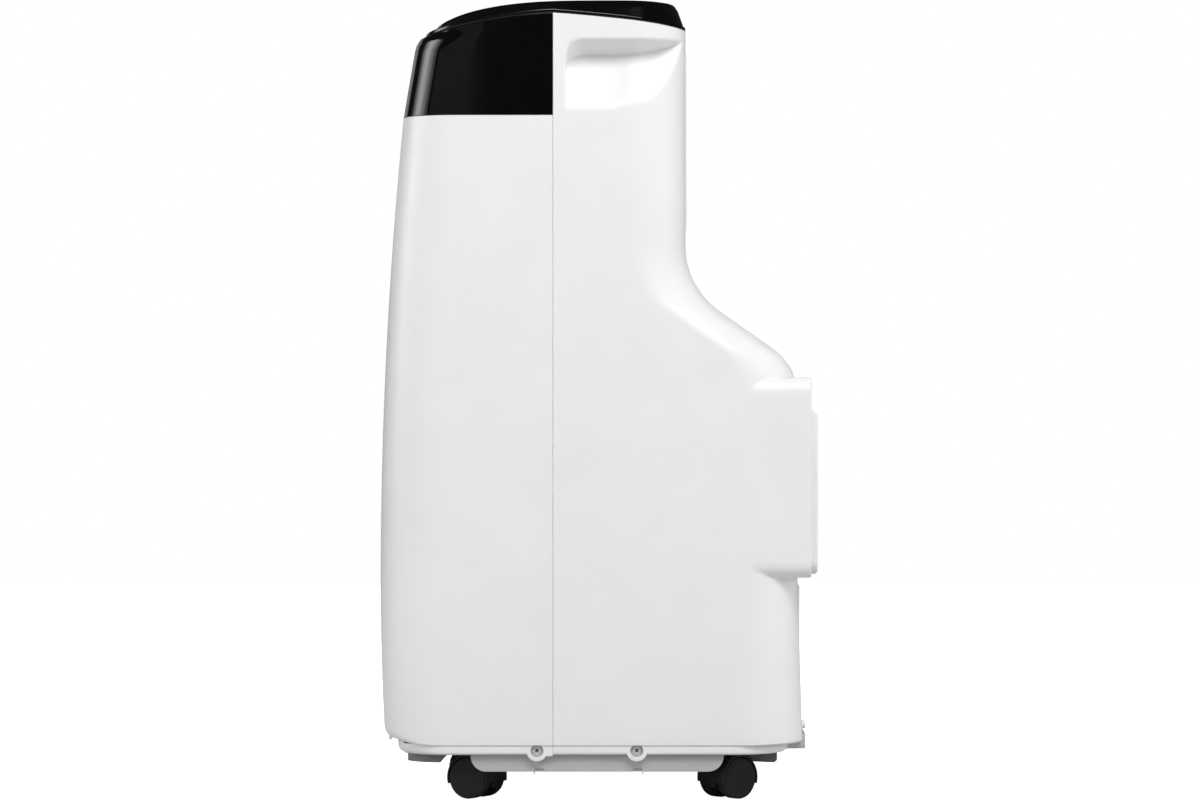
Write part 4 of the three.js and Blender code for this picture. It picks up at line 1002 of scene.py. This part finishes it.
def control_plate(grow):
    a, b = CONTROL_HALF_WIDTH + grow, CONTROL_HALF_DEPTH + grow
    return rounded_rect(-a, a, -b, b, 8 + grow)


def key_places():
    return {name: centre_mm("button_" + name)[0] for name in ("power", "mode", "down", "up")}


def build_controls():
    plate = draped(sliced(prism(control_plate(0), -1.7, 0)))
    overlay = new_object("control_overlay_skin", plate)
    for x in key_places().values():
        cut(overlay, tilted(prism(circle(x, 0, 8.4, 40), -8, 8)))
    bevelled(overlay, 0.25, 2, 50)
    dress(overlay, "cabinet", SMOKED, ["control_overlay"])
    for name, x in key_places().items():
        profile = [(0, -4), (7.4, -4), (8, -3.4), (8, 0.5), (7.7, 1.0), (7.0, 1.2)]
        profile += [(4, 0.95), (0, 0.85)]
        key = tilted(lathe(profile, "z", (x, 0, 0), 48))
        stem = tilted(lathe([(0, -8.5), (3, -8.5), (3, -3.9), (0, -3.9)], "z", (x, 0, 0), 24))
        piece = combine(f"key_{name}_cap", [key, stem])
        dress(piece, "key_" + name, DARK, ["button_" + name])
        mark = combine(f"key_{name}_mark", [tilted(m) for m in key_marks(name, x)])
        dress(mark, "key_" + name, MARK)
    display = combine("display_digits", [draped(m) for m in seven_segments()])
    dress(display, "cabinet", MARK)


def bar(cx, cy, length, width, angle, low=0.8, high=1.12):
    """A thin printed stroke with round ends, lying on the control strip."""
    shape = rounded_rect(-length / 2, length / 2, -width / 2, width / 2, width * 0.49, 4)
    bm = prism(shape, low, high)
    bm.transform(Matrix.Translation((cx, cy, 0)) @ Matrix.Rotation(math.radians(angle), 4, "Z"))
    return bm


def key_marks(name, x):
    if name == "power":
        ring = [(2.6, 0.8), (3.2, 0.8), (3.2, 1.12), (2.6, 1.12)]
        return [lathe(ring, "z", (x, 0, 0), 32), bar(x, 2.6, 3.4, 0.6, 90)]
    if name == "mode":
        return [bar(x, 0, 6.0, 0.6, a) for a in (0, 60, 120)]
    lean = 40 if name == "up" else -40
    return [bar(x - 1.4, 0, 4.2, 0.7, lean), bar(x + 1.4, 0, 4.2, 0.7, -lean)]


def seven_segments():
    """Two dim digits, both reading 8, as an unlit display shows."""
    strokes = []
    for x in (-8, 8):
        for dy in (-7, 0, 7):
            strokes.append(bar(x, dy, 6.4, 0.9, 0, -0.1, 0.1))
        for dx in (-4, 4):
            for dy in (-3.5, 3.5):
                strokes.append(bar(x + dx, dy, 5.6, 0.9, 90, -0.1, 0.1))
    return strokes


# ---- rear half


def rear_levels():
    """Rows up the back, close together where an opening, the bar or a grip begins."""
    _, upper_low, upper_high = UPPER_WINDOW
    _, lower_low, lower_high = LOWER_WINDOW
    stops = [(WALL_START, 3), (lower_low, 0.8), (lower_high, 0.8), (HOUSING_BOTTOM, 0.04)]
    stops += [(HOUSING_TOP, 0.04), (429, 2.5), (upper_low, 0.8), (GRIP_BOTTOM - 6, 1.2)]
    grip_rows = np.arange(GRIP_BOTTOM - 5, 716.0, 1.1)
    above = chain([(upper_high, 0.8), (728.0, 0.8)], 0.9)
    return np.concatenate([chain(stops, 7), grip_rows, above])


def rear_columns():
    start, end = PARTING + GAP, NECK_Y - REAR_CORNER
    edge = GRIP_FRONT_Y
    stops = [(start, 0.7), (edge - 1.6, 0.5), (edge + 1.6, 0.5), (-14, 1.0), (end, 2.0)]
    side = chain(stops, 2.6)
    fine = np.linspace(edge - 1.4, edge + 1.4, 15)
    side = np.sort(np.concatenate([side[np.abs(side - edge) >= 1.5], fine]))
    along = (side - start) / (end - start)
    corner = 1 + chain([(0, 1.5), (49.6, 0.12), (90, 1.5)], 2.2, 1.25)[1:] / 90
    sills = [(170, 1.5), (UPPER_WINDOW[0], 0.7), (LOWER_WINDOW[0], 0.7), (CHUTE_HALF, 0.8), (0, 8)]
    flat = chain(sills, 10)[1:]
    back = 3 - flat / 170
    half = np.concatenate([along, corner, back])
    return np.concatenate([half, 6 - half[-2::-1]])


def build_rear():
    columns, levels = rear_columns(), rear_levels()
    z = levels[:, None] + 0 * columns
    x, y = rear_surface(columns, z)
    round_corner = np.minimum(columns, 6 - columns)
    low_z, low_in = bottom_rows(edge_radius(3 - round_corner, REAR_ROUNDING))
    lx, ly, _, _ = rear_skin(columns, low_z, low_in)
    shares = chain([(0, 0.06), (1, 0.05)], 0.16)[1:]
    edge_y = rear_skin(columns, CAP_PLAN_Z)[1]
    rise = seam_z(edge_y) - SEAM_GAP - levels[-1]
    high_z = levels[-1] + shares[:, None] * rise[None, :]
    hx, hy = rear_surface(columns, high_z)
    x, y, z = np.vstack([lx, x, hx]), np.vstack([ly, y, hy]), np.vstack([low_z, z, high_z])

    def hole(cx, cy, cz):
        windows = (UPPER_WINDOW, LOWER_WINDOW, SOCKET_WINDOW)
        return cy > 60 and any(abs(cx) < half and a < cz < b for half, a, b in windows)

    bm = thicken(grid(x, y, z, hole), EDGE_ROLL, SHELL)
    housing = new_object("rear_housing_skin", bm)
    join_objects(housing, [skirt("skirt_rear", PARTING + GAP, 400)])
    dress(housing, "cabinet", WHITE, ["rear_housing"], 40)
    build_collar()
    build_filter("upper_filter", "upper_intake")
    build_filter("lower_filter", "lower_intake")
    build_drains()


def build_collar():
    lo, hi = COLLAR
    front, half = HOUSING_REAR_Y + 0.02, hi.x
    top, rear, bottom = hi.z, hi.y, lo.z
    outline = [(front, bottom), (rear - 1.5, bottom), (rear, bottom + 3.5)]
    outline += [(rear, top - 7), (rear - 7, top), (front, top)]
    plate = new_object("exhaust_collar_skin", prism(outline, -half, half, "x"))
    corner = 14
    turns = np.linspace(0, math.pi / 2, 13)
    shape = [
        (half - corner + corner * math.sin(a), bottom + corner * (1 - math.cos(a))) for a in turns
    ]
    shape += [(half, top + 1), (-half, top + 1)] + [(-a, b) for a, b in reversed(shape)]
    carve(plate, "INTERSECT", prism(shape, front - 5, rear + 5, "y"))
    cut(
        plate,
        cuboid(-104, 104, front + 4, rear - 2.4, 222, 420),
        cuboid(-97, 97, front + 4, 300, 228, 420),
        prism(circle(0, EXHAUST_Z, EXHAUST_RADIUS - 1, 96), 150, 300, "y"),
    )
    bevelled(plate, 0.8, 3, 30)
    r = EXHAUST_RADIUS
    spigot = lathe(
        [(r - 1, 0), (r - 1, 17.5), (r + 1.7, 17.5), (r + 1.7, 0.6), (r + 1.1, 0), (r - 0.4, 0)],
        "y", (0, lo.y, EXHAUST_Z), 96,
    )
    seat = lathe(
        [(r - 1.2, 0), (r - 1.2, 1.2), (r - 0.2, 1.8), (r + 2.6, 1.8), (r + 3.2, 1.2), (r + 3.2, 0)],
        "y", (0, front + 3.6, EXHAUST_Z), 96,
    )
    join_objects(plate, [new_object("spigot", spigot), new_object("seat", seat)])
    dress(plate, "cabinet", WHITE, ["exhaust_collar"])


def build_filter(node, body):
    """A framed intake grille with thin slats, three ribs and a mesh behind them."""
    lo, hi = box_mm(node)
    border, pitch = 8, 6.4
    left, right, bottom, top = lo.x + border, hi.x - border, lo.z + border, hi.z - border
    frame_ring = new_object(f"{node}_skin", cuboid(lo.x, hi.x, lo.y, hi.y, lo.z, hi.z))
    cut(frame_ring, prism(rounded_rect(left, right, bottom, top, 3), 0, 400, "y"))
    bevelled(frame_ring, 0.9, 3, 40)
    parts = []
    count = round((top - bottom) / pitch)
    for z in np.linspace(bottom, top, count + 1)[1:-1]:
        slat = [(hi.y - 5.5, z + 1.6), (hi.y - 5.6, z + 0.4), (hi.y - 0.6, z - 1.3)]
        slat += [(hi.y - 0.2, z - 0.9), (hi.y - 0.25, z - 0.2)]
        parts.append(prism(slat, left - 0.6, right + 0.6, "x"))
    for x in (-0.5 * hi.x, 0, 0.5 * hi.x):
        parts.append(cuboid(x - 1.2, x + 1.2, hi.y - 7.2, hi.y - 1.4, bottom - 0.5, top + 0.5))
    tab = rounded_rect(-16, 16, hi.z - 7.0, hi.z - 1.5, 2, 4)
    pull = bevelled(new_object("pull", prism(tab, hi.y - 0.4, hi.y + 1.1, "y")), 0.5, 2)
    join_objects(frame_ring, [combine("bars", parts), pull])
    dress(frame_ring, body, WHITE_FINE, [node])
    sheet = cuboid(left - 1, right + 1, lo.y + 0.4, lo.y + 1.3, bottom - 1, top + 1)
    mesh = bevelled(new_object(f"{node}_mesh", sheet), 0.2, 1)
    dress(mesh, body, MESH)


def build_drains():
    build_drain("upper_drain_plug", "upper_drain", NYLON)
    build_drain("lower_drain_plug", "lower_drain", WHITE)
    lo, hi = box_mm("cord_gland")
    x, _, z = centre_mm("cord_gland")
    profile = [(3.3, lo.y), (4.8, lo.y), (4.8, hi.y - 2.6), (6.4, hi.y - 2.5), (6.8, hi.y - 2.0)]
    profile += [(6.6, hi.y - 0.6), (5.6, hi.y), (4.0, hi.y), (3.3, hi.y - 0.8)]
    gland = new_object("cord_gland_ring", lathe(profile, "y", (x, 0, z), 48))
    dress(gland, "cabinet", NYLON, ["cord_gland"])


def build_drain(name, body, material):
    """A drain's plug with a notched rim, over a seat with a dark disc behind it on the cabinet, painted
    shade in the drain's hole.
    """
    lo, hi = box_mm(name)
    x, _, z = centre_mm(name)
    r = (hi.x - lo.x) / 2
    back = hi.y - 6.7
    profile = [(0, lo.y), (r * 0.5, lo.y), (r * 0.58, lo.y + 1), (r * 0.58, back - 0.2)]
    profile += [(r * 0.9, back - 0.2), (r, back + 0.5), (r, back + 1.9), (r * 0.93, back + 2.5)]
    profile += [(r * 0.6, back + 2.7), (r * 0.55, back + 3.2), (r * 0.55, hi.y - 0.6)]
    profile += [(r * 0.47, hi.y), (0, hi.y)]
    plug = new_object(f"{name}_cap", lathe(profile, "y", (x, 0, z), 48))
    for nx, nz in circle(x, z, r * 0.99, 12):
        cut(plug, prism(circle(nx, nz, 0.9, 12), back + 0.2, hi.y + 2, "y"))
    dress(plug, body, material, [name])
    rim = [(r * 0.62, 0), (r * 0.62, 0.9), (r * 0.98, 0.9), (r * 1.02, 0.5), (r * 1.02, 0)]
    seat = new_object(f"{name}_seat", lathe(rim, "y", (x, back - 1.15, z), 48))
    dress(seat, "cabinet", WHITE)
    # A dark disc under the seat: painted shade where the hole goes deep.
    well_shade = [(0, 0), (r * 0.64, 0), (r * 0.64, 0.5), (0, 0.5)]
    dark = new_object(f"{name}_well", lathe(well_shade, "y", (x, back - 1.2, z), 32))
    dress(dark, "cabinet", DARK)


# ---- base


FRONT_BLOCK = [(-180, 44.6), (-180, 36.8), (-148, 36.8), (-141, 44.6)]
REAR_BLOCK = [(145, 44.6), (146.5, 30), (174, 28.8), (177, 31), (177, 44.6)]


def build_base():
    floor_z = box_mm("base_pan")[0].z
    apron = box_mm("base_pan")[1].y
    tray = new_object("base_pan_skin", prism(plan_outline(0, *TRAY_PLAN), 44, 60))
    radius, low, high = 15.0, -119.0, 122.0
    turns = np.linspace(0, math.pi / 2, 10)
    side = [(low, 44.7)]
    side += [(low + radius * (1 - math.cos(a)), floor_z + radius * (1 - math.sin(a))) for a in turns]
    side += [(high - radius * (1 - math.sin(a)), floor_z + radius * (1 - math.cos(a))) for a in turns]
    side += [(high, 44.7)]
    add(tray, prism(side, -216.5, 216.5, "x"), cuboid(-150, 150, 150, apron, 45, 60))
    cut(tray, *[caster_well(name, 44, 44.5) for name in CASTER_NAMES])
    ribs = []
    for side_x in (-1, 1):
        for notch_y, rib_y in ((-58.5, -58.8), (35.5, 44.4)):
            span = span_x(side_x, 214.4, 220)
            notch = rounded_rect(notch_y, notch_y + 9.2, 20, floor_z + 3.2, 0.3, 1)
            cut(tray, prism(notch, *span, "x"))
            span = span_x(side_x, 213.2, 216.6)
            ribs.append(prism(rounded_rect(rib_y, rib_y + 1.1, 26.2, 33.5, 0.4, 2), *span, "x"))
    lo, hi = box_mm("lower_drain_plug")
    x, _, z = centre_mm("lower_drain_plug")
    cut(tray, prism(circle(x, z, (hi.x - lo.x) / 2 + 1, 48), apron - 20, apron + 9, "y"))
    bevelled(tray, 0.7, 3, 35)
    for x in np.linspace(-150, 150, 9):
        ribs.append(cuboid(x - 1.2, x + 1.2, -95, 98, floor_z - 1.6, floor_z + 0.5))
    for y in (-60, 0, 60):
        ribs.append(cuboid(-180, 180, y - 1.2, y + 1.2, floor_z - 1.6, floor_z + 0.5))
    join_objects(tray, [bevelled(combine("ribs", ribs), 0.25, 1)])
    dress(tray, "cabinet", GREY, ["base_pan"])
    build_end_blocks()
    for i in (1, 2):
        build_screw(f"skirt_screw_right_{i}", 1)
        build_screw(f"skirt_screw_left_{i}", -1)


def caster_well(name, radius, top):
    x, y, _ = caster_place(name)
    return prism(circle(x, y, radius, 96), -10, top)


def build_end_blocks():
    """The blocks under the tray's ends, two at the front and two at the back, coloured a darker grey
    than the tray as painted shade from under the walls.
    """
    blocks = []
    for side in (-1, 1):
        front = new_object("block", prism(FRONT_BLOCK, *span_x(side, 120, 213), "x"))
        carve(front, "INTERSECT", prism(plan_outline(1.2, *TRAY_PLAN), 30, 50))
        cut(front, *[caster_well(name, 43.9, 44.1) for name in CASTER_NAMES[:2]])
        rear = new_object("block", prism(REAR_BLOCK, *span_x(side, 60, 118), "x"))
        blocks += [bevelled(block, 0.6, 2, 35) for block in (front, rear)]
    base = join_objects(blocks[0], blocks[1:])
    base.name = "tray_end_blocks"
    dress(base, "cabinet", BLOCK_SHADE_GREY)


def screw_cross(y, z, level, length, width, radius, depth):
    """The two crossed strokes of a screw's drive, from a level along x outwards."""
    strokes = []
    for angle in (45, 135):
        stroke = prism(rounded_rect(-length, length, -width, width, radius, 4), 0, depth)
        turn = Matrix.Rotation(math.pi / 2, 4, "Y") @ Matrix.Rotation(math.radians(angle), 4, "Z")
        stroke.transform(Matrix.Translation((level, y, z)) @ turn)
        strokes.append(stroke)
    return strokes


def build_screw(node, side):
    """A cross-head screw, mirrored for the left side: a dark piece in its cross recess and a grey seat
    ring in the skirt's recess are painted shade.
    """
    _, y, z = centre_mm(node)
    face = box_mm(node)[1].x if side > 0 else -box_mm(node)[0].x
    profile = [(0, face - 12), (1.9, face - 12), (1.9, face - 1.5), (3.7, face - 1.5)]
    profile += [(4.0, face - 1.2), (3.85, face - 0.7), (3.2, face - 0.25), (1.8, face), (0, face)]
    head = new_object(f"{node}_head", lathe(profile, "x", (0, y, z), 40))
    cut(head, *screw_cross(y, z, face - 1.3, 2.3, 0.55, 0.5, 3))
    cut(head, prism(circle(y, z, 1.1, 16), face - 1.7, face + 2, "x"))
    # A dark piece inside the cut cross: painted shade in the screw's drive.
    cross = combine(f"{node}_cross", screw_cross(y, z, face - 1.25, 2.2, 0.5, 0.45, 0.9))
    ring = [(4.3, face - 0.9), (4.3, face - 0.2), (6.1, face + 0.3), (6.1, face - 0.9)]
    seat = new_object(f"{node}_seat", lathe(ring, "x", (0, y, z), 40))
    if side < 0:
        for piece in (head, cross, seat):
            piece.data.transform(Matrix.Scale(-1, 4, (1, 0, 0)))
            piece.data.flip_normals()
    dress(head, "cabinet", NICKEL, [node])
    dress(cross, "cabinet", DARK)
    dress(seat, "cabinet", RECESS_SHADE_GREY)


# ---- casters

CASTER_NAMES = ("front_right", "front_left", "rear_right", "rear_left")
TRAIL, WHEEL_RADIUS = 16.0, 20.0
WHEEL_INNER, WHEEL_WIDTH = 6.6, 12.6
AXLE = (TRAIL, 0, WHEEL_RADIUS)


def caster_place(name):
    x, y, _ = centre_mm(name + "_stem")
    axis = joint(name + "_roll_a")["axis"]
    return x, y, math.atan2(-axis[0], axis[1])


def arc_band(section, start, end, steps, centre):
    """A closed (radius, y) section swept about the axle between two angles, in degrees."""
    ca, cz = centre
    rings = []
    for a in np.radians(np.linspace(start, end, steps + 1)):
        rings.append([(ca + r * math.cos(a), y, cz + r * math.sin(a)) for r, y in section])
    return stacked(rings)


def build_casters():
    for name in CASTER_NAMES:
        x, y, turn = caster_place(name)
        place = Matrix.Translation((x, y, 0)) @ Matrix.Rotation(turn, 4, "Z")
        hood = caster_hood(f"{name}_hood_shell")
        hood.data.transform(scaled(place))
        dress(hood, "caster_" + name, NYLON, [name + "_hood"])
        for label, side in (("a", 1), ("b", -1)):
            wheel = new_object(f"{name}_wheel_{label}_disc", wheel_solid(side))
            wheel.data.transform(scaled(place @ Matrix.Translation(AXLE)))
            body = f"wheel_{name}_{label}"
            dress(wheel, body, TREAD, [f"{name}_wheel_{label}"])


def caster_hood(name):
    """The fender, web, neck and axle of a caster whose stem is on the z axis."""
    fender = [(20.5, -19.0), (21.9, -19.0), (22.6, -18.2), (22.9, -17.0), (22.9, 17.0)]
    fender += [(22.6, 18.2), (21.9, 19.0), (20.5, 19.0)]
    hood = new_object(name, arc_band(fender, -10, 196, 44, (TRAIL, WHEEL_RADIUS)))
    web = [(0, -4.4), (21.4, -4.4), (22.2, -3.6), (22.2, 3.6), (21.4, 4.4), (0, 4.4)]
    neck = [(0, 24), (13, 24), (13.2, 31), (12.2, 36.5), (9, 42.4), (0, 42.4)]
    add(hood, lathe(web, "y", AXLE, 64), lathe(neck, "z", (0, 0, 0), 48))
    for side in (-1, 1):
        span = span_x(side, WHEEL_INNER - 0.4, 19.6)
        cut(hood, prism(circle(TRAIL, WHEEL_RADIUS, WHEEL_RADIUS + 0.4, 64), *span, "y"))
    cut(hood, cuboid(-60, 80, -60, 60, 42.4, 80), cuboid(-60, 80, -4.6, 4.6, -10, 11.0))
    cut(hood, prism(circle(0, 0, 4.3, 32), 28, 60))
    bevelled(hood, 0.5, 2, 35)
    pin = [(0, -16.9), (1.9, -16.9), (2.3, -16.5), (2.3, 16.5), (1.9, 16.9), (0, 16.9)]
    return join_objects(hood, [new_object("axle", lathe(pin, "y", AXLE, 24))])


def scaled(matrix):
    """The same placement for a mesh that is already in metres."""
    shrink = Matrix.Scale(MM, 4)
    return shrink @ matrix @ shrink.inverted()


def wheel_solid(side):
    """A caster wheel about y: rounded tread, a rim, a dished face and a hub cap."""
    inner, outer, r = WHEEL_INNER, WHEEL_INNER + WHEEL_WIDTH, WHEEL_RADIUS
    profile = [(0, 17.3), (2.6, 17.3), (2.6, inner), (4.6, inner), (4.6, inner + 1.5)]
    profile += [(r - 3, inner + 1.5), (r - 3, inner), (r - 0.9, inner), (r - 0.25, inner + 0.3)]
    profile += [(r, inner + 1.0), (r, outer - 1.9), (r - 0.35, outer - 0.8), (r - 1.2, outer - 0.15)]
    profile += [(r - 2.4, outer), (r - 6, outer + 0.1), (0, outer + 0.2)]
    bm = lathe(profile, "z", (0, 0, 0), 72)
    bm.transform(Matrix.Rotation(-math.pi / 2 * side, 4, "X"))
    return bm


# ---- carried-over CAD nodes

CARRIED = {
    DARK: ["outlet_duct", "louver_motor", "vane_link", "evaporator_fan", "condenser_fan"]
    + [f"vane_{i}" for i in range(1, 6)],
    INSULATION: ["evaporator_scroll", "condenser_scroll", "drip_deck", "control_box"],
    FINS: ["evaporator", "condenser"],
    COPPER: ["discharge_pipe", "suction_pipe"],
    ENAMEL: ["compressor"],
    STEEL: ["evaporator_motor", "condenser_motor"] + [n + "_stem" for n in CASTER_NAMES],
}
OPEN_TO_VIEW = ("outlet_duct", "louver_motor", "vane_", "evaporator_", "condenser_")


def refined(node, material):
    """A piece from the node's own shape, with its facets merged and its edges rounded."""
    source = frame["nodes"][node]
    bm = bmesh.new()
    bm.from_mesh(source.data)
    bmesh.ops.remove_doubles(bm, verts=bm.verts[:], dist=2e-6)
    flat = math.radians(0.8)
    bmesh.ops.dissolve_limit(bm, angle_limit=flat, verts=bm.verts[:], edges=bm.edges[:])
    mesh = bpy.data.meshes.new(node)
    bm.to_mesh(mesh)
    bm.free()
    piece = bevelled(linked(node + "_piece", mesh), 0.35, 2, 35)
    dress(piece, source["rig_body"], material, [node])


def dress_carried():
    for material, names in CARRIED.items():
        for name in names:
            if name.startswith(OPEN_TO_VIEW) and material is not FINS:
                refined(name, material)
                continue
            obj = frame["nodes"][name]
            obj.data.materials.clear()
            obj.data.materials.append(material)


# ---- stage, light and camera


# Where the lights aim, in metres.
MIDDLE, HEAD = (0, 0, 0.4), (0, 0, 0.7)


def aimed(obj, place, direction):
    obj.location = place
    obj.rotation_mode = "QUATERNION"
    obj.rotation_quaternion = Vector(direction).to_track_quat("-Z", "Y")
    return obj


def emitter(name, place, target, width, height, power):
    light = bpy.data.lights.new(name, "AREA")
    light.shape = "RECTANGLE"
    light.size, light.size_y = width, height
    light.energy = power
    obj = aimed(linked(name, light), place, Vector(target) - Vector(place))
    obj.visible_camera = False
    return obj


def build_stage():
    bm = bmesh.new()
    bmesh.ops.create_grid(bm, x_segments=4, y_segments=4, size=4500)
    floor = new_object("floor", bm)
    paper = Shader("floor_paper", (0.5, 0.5, 0.5), 0.95, Specular_IOR_Level=0.0)
    paper.mottle(paper.noise(3, 3), 0.003)
    paper.surface["Emission Color"].default_value = (1, 1, 1, 1)
    lit = paper.node("ShaderNodeMath", operation="MULTIPLY")
    lit.inputs[1].default_value = 0.985
    paper.link(paper.node("ShaderNodeLightPath").outputs["Is Camera Ray"], lit.inputs[0])
    paper.link(lit.outputs[0], paper.surface["Emission Strength"])
    floor.data.materials.append(paper.material)
    build_world()
    # A bank of upright strips, brightest in the middle, whose mirror image is the head's highlight.
    for k in range(7):
        place = (0.3 * k - 0.85, -2.6, 1.35)
        power = 6.2 * math.exp(-((k - 3.2) / 2.1) ** 2)
        strip = emitter(f"front_strip_{k}", place, HEAD, 0.3, 1.6, power)
        strip.visible_diffuse = False
    emitter("front_fill", (-3.1, -1.9, 1.4), HEAD, 1.6, 1.4, 3.2)
    emitter("side_fill", (2.5, -1.6, 0.9), HEAD, 3.3, 1.5, 1.8)
    emitter("key", (2.2, 0.5, 2.5), MIDDLE, 1.6, 1.2, 55)
    # These four are left out of reflections, so that the black parts stay dark.
    soft = [emitter("front_soft", (1.2, -2.9, 1.1), HEAD, 2.0, 2.0, 22)]
    soft.append(emitter("rear_box", (0.9, 2.9, 0.7), MIDDLE, 1.6, 1.2, 24))
    soft.append(emitter("far_box", (-2.4, -0.6, 2.4), MIDDLE, 1.6, 1.6, 38))
    soft.append(emitter("top_box", (0.0, 0.0, 3.2), MIDDLE, 1.6, 1.6, 8))
    for light in soft:
        light.visible_glossy = False
    bpy.context.scene.view_settings.view_transform = "Standard"


def build_world():
    """White to the camera, dim to gloss and soft to everything else."""
    world = bpy.data.worlds.new("studio")
    bpy.context.scene.world = world
    world.use_nodes = True
    tree = world.node_tree
    path = tree.nodes.new("ShaderNodeLightPath")
    shader = tree.nodes["Background"].outputs[0]
    tree.nodes["Background"].inputs["Color"].default_value = (1, 1, 1, 1)
    tree.nodes["Background"].inputs["Strength"].default_value = 0.42
    for ray, strength in (("Is Glossy Ray", 0.025), ("Is Camera Ray", 1.0)):
        seen = tree.nodes.new("ShaderNodeBackground")
        seen.inputs["Color"].default_value = (1, 1, 1, 1)
        seen.inputs["Strength"].default_value = strength
        mix = tree.nodes.new("ShaderNodeMixShader")
        tree.links.new(path.outputs[ray], mix.inputs["Fac"])
        tree.links.new(shader, mix.inputs[1])
        tree.links.new(seen.outputs[0], mix.inputs[2])
        shader = mix.outputs[0]
    tree.links.new(shader, tree.nodes["World Output"].inputs["Surface"])


# The camera faces the unit's right side squarely, level with its middle, in metres.
CAMERA_DISTANCE, CAMERA_Y, CAMERA_Z = 4.0, 0.0042, 0.3824


def build_camera():
    data = bpy.data.cameras.new("camera")
    data.sensor_width = 36
    data.sensor_fit = "HORIZONTAL"
    data.lens = 126.3
    data.clip_end = 100
    place = (cad_high.x + CAMERA_DISTANCE, CAMERA_Y, CAMERA_Z)
    bpy.context.scene.camera = aimed(linked("camera", data), place, (-1, 0, 0))


build_camera()
build_stage()
build_front()
build_cap()
build_rear()
build_base()
build_casters()
dress_carried()
